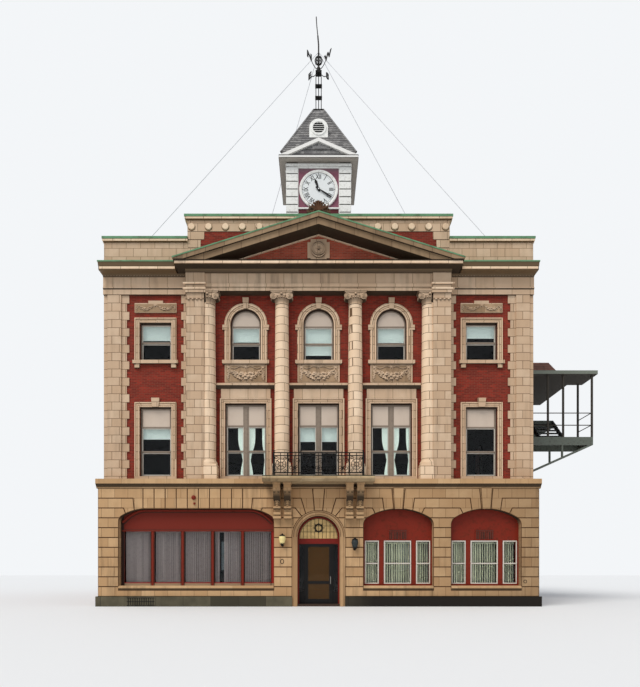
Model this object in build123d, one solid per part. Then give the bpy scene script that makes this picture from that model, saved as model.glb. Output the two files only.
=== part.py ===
from build123d import *
import math
import os

os.makedirs("parts", exist_ok=True)

# Town hall with a brick and terra-cotta temple front and a wooden clock tower.
# Millimetres, +Z up. The front faces -Y and the origin lies on the ground below the middle of its brick face.

# Plan
FRONT_HALF = 8790
DEPTH = 18000
WALL = 450
STONE_HALF = 8840
STONE_OUT = 560
STONE_BACK = 100
BAY = 2980
WING_X = 6670

# Heights of the stone storey
PLINTH_H = 400
PLINTH_OUT = 80
FLOOR_T = 90
STONE_H = 4330
BELT_H = 370
BELT_OUT = 140
BELT_END = 60

# Shop window in the left half of the stone storey
SHOP_PIER = 830
SHOP_X0 = -STONE_HALF + SHOP_PIER
SHOP_X1 = -1800
SHOP_APRON = 250
SHOP_SILL_H = 180
SHOP_HEAD = 3910
SHOP_SPRING = 3400
SHOP_CORNER = 1100
SHOP_BOARD_H = 870
SHOP_FRAME = 130
SHOP_MULLIONS = 4
GLASS_LAP = 60

# Arched windows in the right half of the stone storey
ARCH_START = 1800
ARCH_PIER = 720
ARCH_END = 730
ARCH_HALF = (STONE_HALF - ARCH_END - ARCH_START - ARCH_PIER) / 4
ARCH_X = [ARCH_START + ARCH_HALF, STONE_HALF - ARCH_END - ARCH_HALF]
ARCH_SPRING = 3270
ARCH_HEAD = 3910
ARCH_BOARD_BOTTOM = 2620
ARCH_MIDDLE_HALF = 620
ARCH_POST = 120
GRILLE_HALF = 380
GRILLE_H = 380
GRILLE_BORDER = 40
GRILLE_OUT = 30
GRILLE_BLADES = 6
GROUND_FRAME_Y = -260
FRAME_T = 80
GLASS_T = 12
KEY_HALF = 200
KEY_OUT = 70
KEY_DROP = 60
GROUND_SILL_OUT = 60

# Entrance
DOOR_ARCH_R = 850
DOOR_SPRING = 2780
DOOR_BAND = 210
DOOR_BAND_OUT = 60
DOOR_BAND_BACK = 240
TRANSOM_Z = 2520
TRANSOM_H = 220
DOOR_POST = 65
LEAF_W = 1080
LEAF_T = 50
LEAF_STILE = 110
LEAF_RAIL = 180
LEAF_GAP = 8
SIDE_PANEL_H = 500
LOWER_PANE_H = 620
HANDLE_UP = 950
HANDLE_HALF = 150
HANDLE_STEM = 110
HANDLE_OUT = 60
HANDLE_R = 11
DOOR_Y = -190
HINGE_R = 14
HINGE_OUT = 16
HINGE_H = 120
HINGE_PLATE = 40
HINGE_T = 6

# Balcony over the entrance
BALCONY_HALF = 2170
BALCONY_T = 220
BALCONY_OUT = 900
RAIL_HALF = 1770
RAIL_H = 900
RAIL_INSET = 100
RAIL_BAR = 26
RAIL_LOW = 110
RAIL_STEP = 3
CONSOLE_X = [1650, 1230]
CONSOLE_W = 270
CONSOLE_H = 1380
CONSOLE_DEPTH = 620

# Columns and pilasters of the two upper storeys
ORDER_H = 7600
PEDESTAL_H = 540
PEDESTAL_HALF = 390
BASE_H = 200
CAPITAL_H = 470
COLUMN_R = 300
COLUMN_TOP_R = 265
COLUMN_Y = -200
COLUMN_X = [BAY / 2, BAY * 1.5]
SHAFT_SIDES = 32
PEDESTAL_LEDGE = 20
CAPITAL_HALF = 400
VOLUTE_R = 130
VOLUTE_IN = 70
VOLUTE_OUT = 40
ANTA_X0 = 4610
ANTA_X1 = 5320
ANTA_OUT = 500
PIER_NECK_OUT = 30
PIER_CAP_OUT = 70
PILASTER_X0 = 8070
PILASTER_X1 = 8620
PILASTER_OUT = 100
QUOIN_OUT = 40
QUOIN_COURSE = 337
QUOIN_SHORT = 180
QUOIN_LONG = 280
FOOT_H = 110
FOOT_OUT = 40
PIER_END = 20

# Windows of the second floor
SECOND_SILL = 190
PAIR_HALF = 845
PAIR_HEAD = 3170
WING_HALF = 650
WING_HEAD = 3020
SURROUND_W = 210
SURROUND_OUT = 60
UPPER_FRAME_Y = 110
SASH = 60
MULLION_HALF = 105
PAIR_PANEL_H = 930
WING_PANEL_H = 830
ARCH_PANEL_LAP = 90

# Windows of the third floor
THIRD_SILL = 4930
THIRD_HALF = 620
THIRD_SPRING = 6410
THIRD_BAND = 255
THIRD_WING_HEAD = 6470
SILL_H = 140
SILL_OUT = 140
KEYSTONE_H = 320
KEYSTONE_GAP = 130
KEYSTONE_FOOT = 90
KEYSTONE_HEAD = 130
IMPOST_H = 210
IMPOST_DROP = 30
IMPOST_OUT = 75
IMPOST_FRONT = 30
WING_KEY_H = 370
WING_KEY_FOOT = 130
WING_KEY_HEAD = 165
SILL_END = 80
WING_SILL_END = 60
SILL_BLOCK = 70

# Panels and cornices between the two rows of windows
BAY_CORNICE_Z = 3760
BAY_CORNICE_H = 240
BAY_CORNICE_OUT = 200
LINTEL_OUT = 75
LINTEL_HALF = 1010
SWAG_HALF = 860
SWAG_H = 770
SWAG_OUT = 45
SWAG_RIM = 50
SWAG_SINK = 20
WING_SWAG_Z = 6880
WING_SWAG_H = 400
WING_SWAG_HALF = 855

# Entablature
ARCHITRAVE_H = 280
FRIEZE_H = 420
BED_H = 100
CORONA_H = 160
ENTABLATURE_OUT = 450
BREAK_OUT = 70
CENTRE_CORONA_OUT = 1020
WING_FRIEZE_OUT = 120
WING_CORONA_OUT = 550
WING_CYMA_OUT = 90
WING_CORNICE_H = 330
WING_CORNICE_END = 40
FILLET = 40

# Pediment
PEDIMENT_HALF = 5730
PEDIMENT_TIP = 1050
PEDIMENT_SLOPE = 0.312
RAKE_T = 420
RAKE_OUT = 1120
COPPER_T = 50
COPPER_LIP = 20
TYMPANUM_OUT = 220
CARTOUCHE_HALF = 450
CARTOUCHE_DROP = 648
CARTOUCHE_OUT = 60
MEDALLION_R = 300
MEDALLION_OUT = 50
CROWN_BACK = 90
SHELL_IN = 60
SHELL_T = 160
SHELL_HALF = 480
SHELL_RISE = 230
SHELL_R = 170
SHELL_NECK = 120
SHELL_ROLLS = [(230, 60, 120), (400, 10, 70)]

# Attic
CENTRE_ATTIC_HALF = 5350
CENTRE_ATTIC_H = 2150
WING_ATTIC_H = 1240
COPING_H = 200
COPING_OUT = 120
COPING_LAP = 40

# Floors and roof
UPPER_FLOOR_T = 300
THIRD_FLOOR_Z = 4100
ROOF_Z = 14200
ROOF_T = 250

# Windows in the plain flank and rear walls
SIDE_WINDOW_HALF = 620
SIDE_WINDOW_H = 2100
SIDE_FRAME_IN = 200
GROUND_SIDE_SILL = 1000
SECOND_SIDE_SILL = 700
SIDE_BAYS = 4
REAR_BAYS = 4

# Clock tower
TOWER_Y = 4600
TOWER_HALF = 1510
TOWER_WALL = 200
TOWER_TOP = 21210
CORNER_W = 500
CORNER_OUT = 40
EAVE_HALF = 1906
EAVE_H = 130
GABLE_H = 830
GABLE_BOARD = 170
GABLE_RECESS = 120
SPIRE_H = 3360
SPIRE_TOP_HALF = 270
DIAL_DROP = 1310
DIAL_Z = TOWER_TOP - DIAL_DROP
DIAL_R = 917
DIAL_T = 50
DIAL_RING = 60
HAND_GAP = 20
HAND_T = 12
ARBOR_R = 30
ARBOR_TIP = 12
HOUR_W = 110
MINUTE_W = 80
HUB_R = 60
MINUTE_LEN = 735
HOUR_LEN = 540
MINUTE_DEG = 122.9
HOUR_DEG = 340.25
DORMER_HALF = 455
DORMER_Z = 1250
DORMER_H = 915
LOUVRE_R = 285
LOUVRE_RING = 80
SLATS = 6
SLAT_RISE = 24
SLAT_OUT = 36
SLAT_T = 12
SLAT_GAP = 4
RING_OUT = 40
DORMER_OUT = 30
DORMER_BACK = 100

# Mast
MAST_PLATE_H = 80
MAST_HALF = 155
MAST_POST = 40
MAST_DEPTH = 90
MAST_STAGES = [720, 540, 580]
MAST_COLLAR_OUT = 20
MAST_COLLAR_H = 60
MAST_CAP_H = 100
NECK_H = 320
NECK_R = 120
NECK_WAIST = 70
NECK_BEAD = 95
NECK_TOP = 40
BALL_GAP = 75
TURNED_SIDES = 12
MAST_ROD_R = 28
BALL_R = 195
BALL_BANDS = 5
ROD_BENDS = [(0, 600), (-40, 1080), (-90, 1560), (-120, 2050)]
STAY_R = 12
STAY_EYE_R = 40
STAY_EYE_H = 50
STAY_TOP = 170
STAY_COLLAR_R = 45
STAY_COLLAR_H = 70
STAY_FEET = [(-7100, 300), (7100, 300), (8600, 10000), (-6500, 17800)]
ARM_DEG = 54
ARM_REACH = 900
ARM_RISE = 180
ARM_DROP = 30
ARM_R = 9

# Landing with a canopy and two flights of steel stair on the flank
LANDING_X1 = FRONT_HALF + 3810
LANDING_Y0 = 3000
LANDING_DEPTH = 1600
LANDING_Z = 7570
LANDING_T = 370
DECK_T = 60
CHORD_FOOT = 5600
CHORD_T = 110
CHORD_POST_X = FRONT_HALF + 2360
STEEL_BAR = 80
FLIGHT_W = 1250
UPPER_FLIGHT_X = FRONT_HALF + 2110
LOWER_FLIGHT_X = FRONT_HALF + 410
GOING = 250
UPPER_RISERS = 8
LOWER_RISERS = 12
STRINGER_H = 240
TREAD_T = 40
TREAD_DROP = 60
END_LANDING = 1300
CANOPY_X1 = FRONT_HALF + 3990
CANOPY_Z = 10430
CANOPY_T = 170
CANOPY_ROOF_X1 = FRONT_HALF + 3260
CANOPY_ROOF_TOP_X1 = CANOPY_ROOF_X1 - 650
CANOPY_ROOF_Z = 11740
CANOPY_ROOF_INSET = 650
CANOPY_ROOF_END = 8200
POST_X = [FRONT_HALF + 1710, FRONT_HALF + 2410, LANDING_X1 - STEEL_BAR]
RAIL_RISES = [560, 1120]
RAIL_R = 22

# Wall lanterns beside the entrance
LANTERN_X = 1445
LANTERN_Z = [2655, 2500]
LANTERN_OUT = 190
LANTERN_ARM_R = 18
LANTERN_PROFILE = [(50, -200), (95, -140), (140, 60), (120, 150), (45, 200)]

SLIP = 0.3
CORNER_SHARE = 0.55

# Levels
z_belt = PLINTH_H + STONE_H
z_upper = z_belt + BELT_H
z_order = z_upper + ORDER_H
z_frieze = z_order + ARCHITRAVE_H
z_bed = z_frieze + FRIEZE_H
z_corona = z_bed + BED_H
z_attic = z_corona + WING_CORNICE_H
z_sill = PLINTH_H + SHOP_APRON
z_shop = z_sill + SHOP_SILL_H
stone_face = -STONE_OUT
tower_mid = TOWER_Y + TOWER_HALF
rear = DEPTH
z_eave = TOWER_TOP + EAVE_H
z_spire = z_eave + SPIRE_H
hour_y = TOWER_Y - DIAL_T - HAND_GAP
minute_y = hour_y - HAND_T - HAND_GAP


def slab(x0, x1, y0, y1, z0, z1):
    """Box between two corners."""
    return Pos((x0 + x1) / 2, (y0 + y1) / 2, (z0 + z1) / 2) * Box(abs(x1 - x0), abs(y1 - y0), abs(z1 - z0))


def along_x(points, x0, x1):
    """Section given as (y, z) points, run from x0 to x1."""
    face = Face(Wire.make_polygon([Vector(x0, y, z) for y, z in points]))
    return Solid.extrude(face, Vector(x1 - x0, 0, 0))


def along_y(points, y0, y1):
    """Section given as (x, z) points, run from y0 to y1."""
    face = Face(Wire.make_polygon([Vector(x, y0, z) for x, z in points]))
    return Solid.extrude(face, Vector(0, y1 - y0, 0))


def along_z(points, z0, z1):
    """Section given as (x, y) points, run from z0 to z1."""
    face = Face(Wire.make_polygon([Vector(x, y, z0) for x, y in points]))
    return Solid.extrude(face, Vector(0, 0, z1 - z0))


def quarter_arch(wide, rise):
    """Quarter of an arch from (wide, 0) up to (0, rise): one or two tangent arcs, as (start, middle, end)."""
    if abs(wide - rise) < 1:
        c = math.sqrt(0.5)
        return [((wide, 0), (wide * c, rise * c), (0, rise))]
    small = rise * CORNER_SHARE
    drop = ((wide - small) ** 2 - (rise - small) ** 2) / (2 * (rise - small))
    large = rise + drop
    turn = math.atan2(drop, wide - small)
    joint = (wide - small + small * math.cos(turn), small * math.sin(turn))
    half = turn / 2
    first = (wide - small + small * math.cos(half), small * math.sin(half))
    up = (turn + math.pi / 2) / 2
    second = (large * math.cos(up), large * math.sin(up) - drop)
    return [((wide, 0), first, joint), (joint, second, (0, rise))]


def arch_block(cx, half, z0, spring, rise, corner, y0, y1):
    """Opening with straight sides and rounded corners; where corner < half, its head has a flat middle."""
    edges = [Edge.make_line((cx - half, y0, z0), (cx + half, y0, z0))]
    for side in (1, -1):
        inner = cx + side * (half - corner)
        edges.append(Edge.make_line((cx + side * half, y0, z0), (cx + side * half, y0, spring)))
        for arc in quarter_arch(corner, rise):
            edges.append(Edge.make_three_point_arc(*[(inner + side * x, y0, spring + z) for x, z in arc]))
    if corner < half:
        top = spring + rise
        edges.append(Edge.make_line((cx + half - corner, y0, top), (cx - half + corner, y0, top)))
    return Solid.extrude(Face(Wire(edges)), Vector(0, y1 - y0, 0))


def disc(cx, cz, radius, y0, y1):
    """Round plate facing the front."""
    return Pos(cx, (y0 + y1) / 2, cz) * Rot(90, 0, 0) * Cylinder(radius, abs(y1 - y0))


def rod(start, end, radius, sides=8):
    """Straight bar of few sides between two points."""
    start, end = Vector(*start), Vector(*end)
    section = Plane(origin=start, z_dir=(end - start).normalized()) * RegularPolygon(radius, sides)
    return Solid.extrude(section.face(), end - start)


def ring_frame(x0, x1, z0, z1, bar, y0, y1):
    """Rectangular frame of square bars."""
    return slab(x0, x1, y0, y1, z0, z1) - slab(x0 + bar, x1 - bar, y0 - 1, y1 + 1, z0 + bar, z1 - bar)


def turned(profile, x, y, sides):
    """Upright turned shape of flat-sided frusta, through (radius, z) points from the foot up."""
    made = None
    for (r0, z0), (r1, z1) in zip(profile, profile[1:]):
        if z1 > z0:
            sections = [Pos(x, y, z0) * RegularPolygon(r0, sides), Pos(x, y, z1) * RegularPolygon(r1, sides)]
            frustum = loft(sections, ruled=True)
            made = frustum if made is None else made + frustum
    return made


def both(piece):
    """The piece and its mirror image about the middle of the front."""
    return [piece, mirror(piece, Plane.YZ)]


def save(name, pieces):
    """Write one node; separate solids stay separate."""
    pieces = pieces if isinstance(pieces, list) else [pieces]
    solids = [solid for piece in pieces for solid in piece.solids()]
    shape = solids[0] if len(solids) == 1 else Compound(children=solids)
    export_step(shape, f"parts/{name}.step")


# Stone storey


def plinth():
    door = DOOR_ARCH_R + DOOR_BAND
    runs = []
    for x0, x1 in [(-STONE_HALF - PLINTH_OUT, -door), (door, STONE_HALF + PLINTH_OUT)]:
        runs.append(slab(x0, x1, stone_face - PLINTH_OUT, STONE_BACK, 0, PLINTH_H))
    return runs


def stone_wall_left():
    wall = slab(-STONE_HALF, -DOOR_ARCH_R - DOOR_BAND, stone_face, STONE_BACK, PLINTH_H, z_belt)
    return wall - shop_opening(z_sill, stone_face - 1, STONE_BACK + 1)


def shop_opening(z0, y0, y1):
    middle = (SHOP_X0 + SHOP_X1) / 2
    half = (SHOP_X1 - SHOP_X0) / 2
    return arch_block(middle, half, z0, SHOP_SPRING, SHOP_HEAD - SHOP_SPRING, SHOP_CORNER, y0, y1)


def arch_opening(x, z0, y0, y1):
    return arch_block(x, ARCH_HALF, z0, ARCH_SPRING, ARCH_HEAD - ARCH_SPRING, ARCH_HALF, y0, y1)


def stone_wall_right():
    wall = slab(DOOR_ARCH_R + DOOR_BAND, STONE_HALF, stone_face, STONE_BACK, PLINTH_H, z_belt)
    for x in ARCH_X:
        key = [
            (x - KEY_HALF * 0.7, ARCH_HEAD - KEY_DROP),
            (x + KEY_HALF * 0.7, ARCH_HEAD - KEY_DROP),
            (x + KEY_HALF, z_belt),
            (x - KEY_HALF, z_belt),
        ]
        wall += along_y(key, stone_face - KEY_OUT, stone_face)
        wall -= arch_opening(x, z_sill, stone_face - KEY_OUT - 1, STONE_BACK + 1)
    return wall


def door_arch(radius, y0, y1, z0):
    return arch_block(0, radius, z0, DOOR_SPRING, radius, radius, y0, y1)


def stone_over_door():
    half = DOOR_ARCH_R + DOOR_BAND
    block = slab(-half, half, stone_face, STONE_BACK, DOOR_SPRING, z_belt)
    return block - door_arch(half, stone_face - 1, STONE_BACK + 1, DOOR_SPRING - 1)


def entrance_surround():
    """Moulded band round the door arch, with a rounded outer edge and a stepped reveal."""
    half = DOOR_ARCH_R + DOOR_BAND
    front = stone_face - DOOR_BAND_OUT
    band = door_arch(half, front, STONE_BACK, 0) - door_arch(DOOR_ARCH_R, front - 1, STONE_BACK + 1, -1)
    step = DOOR_BAND / 3
    band -= door_arch(half + 1, front - 1, front + DOOR_BAND_OUT / 2, -1) - door_arch(
        half - step, front - 2, front + DOOR_BAND_OUT, -2
    )
    return band


def ground_sills():
    """Moulded sills under the shop window and the arched windows."""
    front = stone_face - GROUND_SILL_OUT
    spans = [(SHOP_X0, SHOP_X1)] + [(x - ARCH_HALF, x + ARCH_HALF) for x in ARCH_X]
    section = [
        (STONE_BACK, z_sill),
        (stone_face, z_sill),
        (front, z_sill + SHOP_SILL_H * 0.45),
        (front, z_sill + SHOP_SILL_H * 0.8),
        (stone_face, z_shop),
        (STONE_BACK, z_shop),
    ]
    return [along_x(section, x0, x1) for x0, x1 in spans]


def shop_window_frame():
    y0, y1 = GROUND_FRAME_Y, GROUND_FRAME_Y + FRAME_T
    frame = shop_opening(z_shop, y0, y1)
    board_z = SHOP_HEAD - SHOP_BOARD_H
    bay = (SHOP_X1 - SHOP_X0 - SHOP_FRAME) / (SHOP_MULLIONS + 1)
    for i in range(SHOP_MULLIONS + 1):
        x0 = SHOP_X0 + SHOP_FRAME + i * bay
        x1 = x0 + bay - SHOP_FRAME
        frame -= slab(x0, x1, y0 - 1, y1 + 1, z_shop + SHOP_FRAME, board_z)
    return frame


def arched_window_frames():
    """Head panel, two posts and a sash in each of three lights."""
    frames = []
    y0, y1 = GROUND_FRAME_Y, GROUND_FRAME_Y + FRAME_T
    for x in ARCH_X:
        frame = arch_opening(x, z_shop, y0, y1)
        lights = [
            (x - ARCH_HALF + ARCH_POST, x - ARCH_MIDDLE_HALF - ARCH_POST),
            (x - ARCH_MIDDLE_HALF, x + ARCH_MIDDLE_HALF),
            (x + ARCH_MIDDLE_HALF + ARCH_POST, x + ARCH_HALF - ARCH_POST),
        ]
        middle = (z_shop + ARCH_BOARD_BOTTOM) / 2
        for x0, x1 in lights:
            low = slab(x0, x1, y0 - 1, y1 + 1, z_shop + ARCH_POST, middle - SASH / 2)
            high = slab(x0, x1, y0 - 1, y1 + 1, middle + SASH / 2, ARCH_BOARD_BOTTOM)
            frame = frame - low - high
        frames.append(frame + vent_grille(x))
    return frames


def vent_grille(x):
    """Grille of upright blades on an arched head panel."""
    y1 = GROUND_FRAME_Y
    z0 = ARCH_BOARD_BOTTOM + GRILLE_BORDER
    z1 = z0 + GRILLE_H
    border = GRILLE_BORDER
    grille = ring_frame(x - GRILLE_HALF, x + GRILLE_HALF, z0, z1, border, y1 - GRILLE_OUT, y1)
    pitch = 2 * (GRILLE_HALF - border) / GRILLE_BLADES
    tip = y1 - GRILLE_OUT * 0.9
    for i in range(GRILLE_BLADES):
        x0 = x - GRILLE_HALF + border + pitch * i
        front = [(x0 + pitch * 0.4, tip), (x0 + pitch * 0.2, tip)]
        blade = [(x0 + pitch * 0.9, y1), *front, (x0 + pitch * 0.65, y1)]
        grille += along_z(blade, z0 + border - 1, z1 - border + 1)
    return grille


def ground_glass():
    """One sheet behind the shop frame and one behind each arched frame."""
    y0 = GROUND_FRAME_Y + FRAME_T
    y1 = y0 + GLASS_T
    sheets = [slab(SHOP_X0, SHOP_X1, y0, y1, z_shop, SHOP_HEAD - SHOP_BOARD_H + GLASS_LAP)]
    for x in ARCH_X:
        sheets.append(slab(x - ARCH_HALF, x + ARCH_HALF, y0, y1, z_shop, ARCH_BOARD_BOTTOM + GLASS_LAP))
    return sheets


# Entrance

leaf_x0 = -LEAF_W / 2
leaf_x1 = LEAF_W / 2
leaf_z0 = FLOOR_T + LEAF_GAP
leaf_z1 = TRANSOM_Z - LEAF_GAP
hinge_x = leaf_x0 - LEAF_GAP / 2
hinge_y = DOOR_Y - HINGE_OUT


def hinge_halves(side):
    """Barrels and plates of three hinges: upper halves on the leaf (1), lower halves on the frame (-1)."""
    halves = []
    for share in (0.1, 0.5, 0.9):
        z = leaf_z0 + (leaf_z1 - leaf_z0) * share
        z0, z1 = (z + SLIP, z + HINGE_H / 2) if side == 1 else (z - HINGE_H / 2, z)
        barrel = rod((hinge_x, hinge_y, z0), (hinge_x, hinge_y, z1), HINGE_R, 12)
        x1 = hinge_x + side * (HINGE_PLATE + LEAF_GAP / 2)
        halves.append(barrel + slab(min(hinge_x, x1), max(hinge_x, x1), DOOR_Y - HINGE_T, DOOR_Y, z0, z1))
    return halves


def entrance_frame():
    """Fixed frame in the arch: outer jambs, door posts, transom bar and the ring round the fanlight."""
    y0, y1 = DOOR_Y, DOOR_Y + FRAME_T
    frame = door_arch(DOOR_ARCH_R, y0, y1, FLOOR_T)
    bar = DOOR_POST
    frame -= door_arch(DOOR_ARCH_R - bar, y0 - 1, y1 + 1, TRANSOM_Z + TRANSOM_H)
    frame -= slab(leaf_x0 - LEAF_GAP, leaf_x1 + LEAF_GAP, y0 - 1, y1 + 1, FLOOR_T - 1, TRANSOM_Z)
    side0 = leaf_x1 + LEAF_GAP + bar
    side1 = DOOR_ARCH_R - bar
    for x0, x1 in [(side0, side1), (-side1, -side0)]:
        frame -= slab(x0, x1, y0 - 1, y1 + 1, FLOOR_T + SIDE_PANEL_H, TRANSOM_Z - bar)
    for half in hinge_halves(-1):
        frame += half
    return frame


def entrance_glass():
    y0 = DOOR_Y + FRAME_T
    fan_z = TRANSOM_Z + TRANSOM_H - GLASS_LAP
    side0 = leaf_x1 + LEAF_GAP + DOOR_POST / 2
    side_z = FLOOR_T + SIDE_PANEL_H - GLASS_LAP
    sheets = [door_arch(DOOR_ARCH_R, y0, y0 + GLASS_T, fan_z)]
    for x0, x1 in [(side0, DOOR_ARCH_R), (-DOOR_ARCH_R, -side0)]:
        sheets.append(slab(x0, x1, y0, y0 + GLASS_T, side_z, fan_z - SLIP))
    return sheets


def door_panels():
    """Glazed openings of the leaf as (z0, z1)."""
    middle = leaf_z0 + LEAF_RAIL + LOWER_PANE_H
    return [(leaf_z0 + LEAF_RAIL, middle), (middle + LEAF_STILE, leaf_z1 - LEAF_STILE)]


def door_leaf():
    leaf = slab(leaf_x0, leaf_x1, DOOR_Y, DOOR_Y + LEAF_T, leaf_z0, leaf_z1)
    for z0, z1 in door_panels():
        leaf -= slab(leaf_x0 + LEAF_STILE, leaf_x1 - LEAF_STILE, DOOR_Y - 1, DOOR_Y + LEAF_T + 1, z0, z1)
    for half in hinge_halves(1):
        leaf += half
    return leaf


def door_panes():
    y0 = DOOR_Y + LEAF_T / 2 - GLASS_T / 2
    x0, x1 = leaf_x0 + LEAF_STILE, leaf_x1 - LEAF_STILE
    return [slab(x0, x1, y0, y0 + GLASS_T, z0, z1) for z0, z1 in door_panels()]


def door_handle():
    """Pull bar on two short stems."""
    x = leaf_x1 - LEAF_STILE / 2
    z = leaf_z0 + HANDLE_UP
    bar_y = DOOR_Y - HANDLE_OUT
    handle = rod((x, bar_y, z - HANDLE_HALF), (x, bar_y, z + HANDLE_HALF), HANDLE_R)
    for stem_z in (z - HANDLE_STEM, z + HANDLE_STEM):
        handle += rod((x, bar_y, stem_z), (x, DOOR_Y, stem_z), HANDLE_R * 0.7)
    return handle


# String course and balcony


def string_course():
    """Projecting course over the stone storey, with its moulding worked on the front."""
    face = stone_face
    out = face - BELT_OUT
    section = [
        (STONE_BACK, z_belt),
        (face - BELT_OUT * 0.1, z_belt),
        (face - BELT_OUT * 0.2, z_belt + BELT_H * 0.15),
        (face - BELT_OUT * 0.75, z_belt + BELT_H * 0.4),
        (out, z_belt + BELT_H * 0.48),
        (out, z_upper),
        (STONE_BACK, z_upper),
    ]
    return along_x(section, -STONE_HALF - BELT_END, STONE_HALF + BELT_END)


def balcony_slab():
    front = stone_face - BELT_OUT
    section = [
        (front, z_upper - BALCONY_T),
        (front - BALCONY_OUT + 80, z_upper - BALCONY_T),
        (front - BALCONY_OUT, z_upper - BALCONY_T * 0.55),
        (front - BALCONY_OUT, z_upper),
        (front, z_upper),
    ]
    return along_x(section, -BALCONY_HALF, BALCONY_HALF)


def balcony_consoles():
    """Four scrolled brackets, in pairs beside the arch."""
    top = z_upper - BALCONY_T
    foot = top - CONSOLE_H
    back = stone_face
    belt = stone_face - BELT_OUT
    reach = back - CONSOLE_DEPTH
    brackets = []
    swell = (back - CONSOLE_DEPTH * 0.93, top - CONSOLE_H * 0.3)
    waist = (back - CONSOLE_DEPTH * 0.45, top - CONSOLE_H * 0.5)
    hollow = (back - CONSOLE_DEPTH * 0.24, top - CONSOLE_H * 0.75)
    toe = (back - CONSOLE_DEPTH * 0.3, foot)
    for cx in CONSOLE_X:
        x = cx - CONSOLE_W / 2
        straight = [toe, (back, foot), (back, z_belt), (belt, z_belt), (belt, top), (reach, top)]
        edges = [Edge.make_line((x, *start), (x, *end)) for start, end in zip(straight, straight[1:])]
        edges.append(Edge.make_three_point_arc((x, reach, top), (x, *swell), (x, *waist)))
        edges.append(Edge.make_three_point_arc((x, *waist), (x, *hollow), (x, *toe)))
        brackets += both(Solid.extrude(Face(Wire(edges)), Vector(CONSOLE_W, 0, 0)))
    return brackets


def rail_panel(length, posts):
    """Flat panel along X from 0: two rails and upright bars; every third bar stands on the slab."""
    bar = RAIL_BAR
    low = z_upper + RAIL_LOW
    z1 = z_upper + RAIL_H
    panel = slab(0, length, 0, bar, low, low + bar) + slab(0, length, 0, bar, z1 - bar, z1)
    for i in range(posts + 1):
        x = (length - bar) * i / posts
        foot = z_upper if i % RAIL_STEP == 0 else low
        panel += slab(x, x + bar, 0, bar, foot, z1)
    return panel


def balcony_railing():
    """Iron panels on three sides of the balcony; the scrolls between the bars are thin ironwork."""
    front = stone_face - BELT_OUT - BALCONY_OUT + RAIL_INSET
    depth = COLUMN_Y - PEDESTAL_HALF - front - RAIL_BAR
    side = Rot(0, 0, 90) * rail_panel(depth, RAIL_STEP)
    facing = Pos(-RAIL_HALF, front, 0) * rail_panel(2 * RAIL_HALF, RAIL_STEP * 4)
    return [facing] + both(Pos(RAIL_HALF, front + RAIL_BAR, 0) * side)


# Upper front


def arch_light(x, half, y0, y1, drop=0):
    """Arched opening of the third floor, or an outline of another half width round it."""
    return arch_block(x, half, z_upper + THIRD_SILL - drop, z_upper + THIRD_SPRING, half, half, y0, y1)


def upper_openings(y0, y1):
    """Solids of the ten window openings of the upper front."""
    cuts = []
    for x in (-BAY, 0, BAY):
        cuts.append(slab(x - PAIR_HALF, x + PAIR_HALF, y0, y1, z_upper + SECOND_SILL, z_upper + PAIR_HEAD))
        cuts.append(arch_light(x, THIRD_HALF, y0, y1))
    for x in (-WING_X, WING_X):
        x0, x1 = x - WING_HALF, x + WING_HALF
        cuts.append(slab(x0, x1, y0, y1, z_upper + SECOND_SILL, z_upper + WING_HEAD))
        cuts.append(slab(x0, x1, y0, y1, z_upper + THIRD_SILL, z_upper + THIRD_WING_HEAD))
    return cuts


def upper_front_wall():
    wall = slab(-FRONT_HALF, FRONT_HALF, 0, WALL, z_upper, z_attic)
    for cut in upper_openings(-1, WALL + 1):
        wall -= cut
    return wall


def pilasters():
    """Flat pilasters at the outer corners, each on a low base course, and the square piers."""
    shaft = slab(PILASTER_X0, PILASTER_X1, -PILASTER_OUT, 0, z_upper + FOOT_H, z_order)
    x0, x1 = PILASTER_X0 - FOOT_OUT, PILASTER_X1 + FOOT_OUT
    foot = slab(x0, x1, -PILASTER_OUT - FOOT_OUT, 0, z_upper, z_upper + FOOT_H)
    return both(shaft + foot) + square_piers()


def quoins():
    """Toothed strips beside the pilasters and the square piers, with courses counted from the top."""
    strips = []
    courses = int(ORDER_H / QUOIN_COURSE)
    for edge, toward in [(PILASTER_X0 - FOOT_OUT, -1), (ANTA_X1 + PIER_END, 1)]:
        points = [(edge, z_upper), (edge, z_order)]
        for i in range(courses):
            x = edge + toward * (QUOIN_SHORT if i % 2 else QUOIN_LONG)
            z = z_order - i * QUOIN_COURSE
            foot = z - QUOIN_COURSE if i < courses - 1 else z_upper
            points += [(x, z), (x, foot)]
        strips += both(along_y(points, -QUOIN_OUT, 0))
    return strips


def square_piers():
    """Square piers that frame the temple front, with moulded capitals."""
    pier = slab(ANTA_X0, ANTA_X1, -ANTA_OUT, 0, z_upper, z_order - CAPITAL_H * 0.25)
    cap_h = CAPITAL_H * 0.25
    bands = [(PIER_NECK_OUT, z_order - CAPITAL_H * 0.75, z_order - CAPITAL_H * 0.68)]
    for out, z0, z1 in bands + [(PIER_CAP_OUT, z_order - cap_h, z_order)]:
        pier += slab(ANTA_X0 - out, ANTA_X1 + PIER_END, -ANTA_OUT - out, 0, z0, z1)
    return both(pier)


def column_tool(clear=0):
    """Room for a column: everything in front of the wall and beside the square pier."""
    return slab(0, ANTA_X0 - clear, -2 * STONE_OUT, 0, z_upper, z_order)


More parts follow.
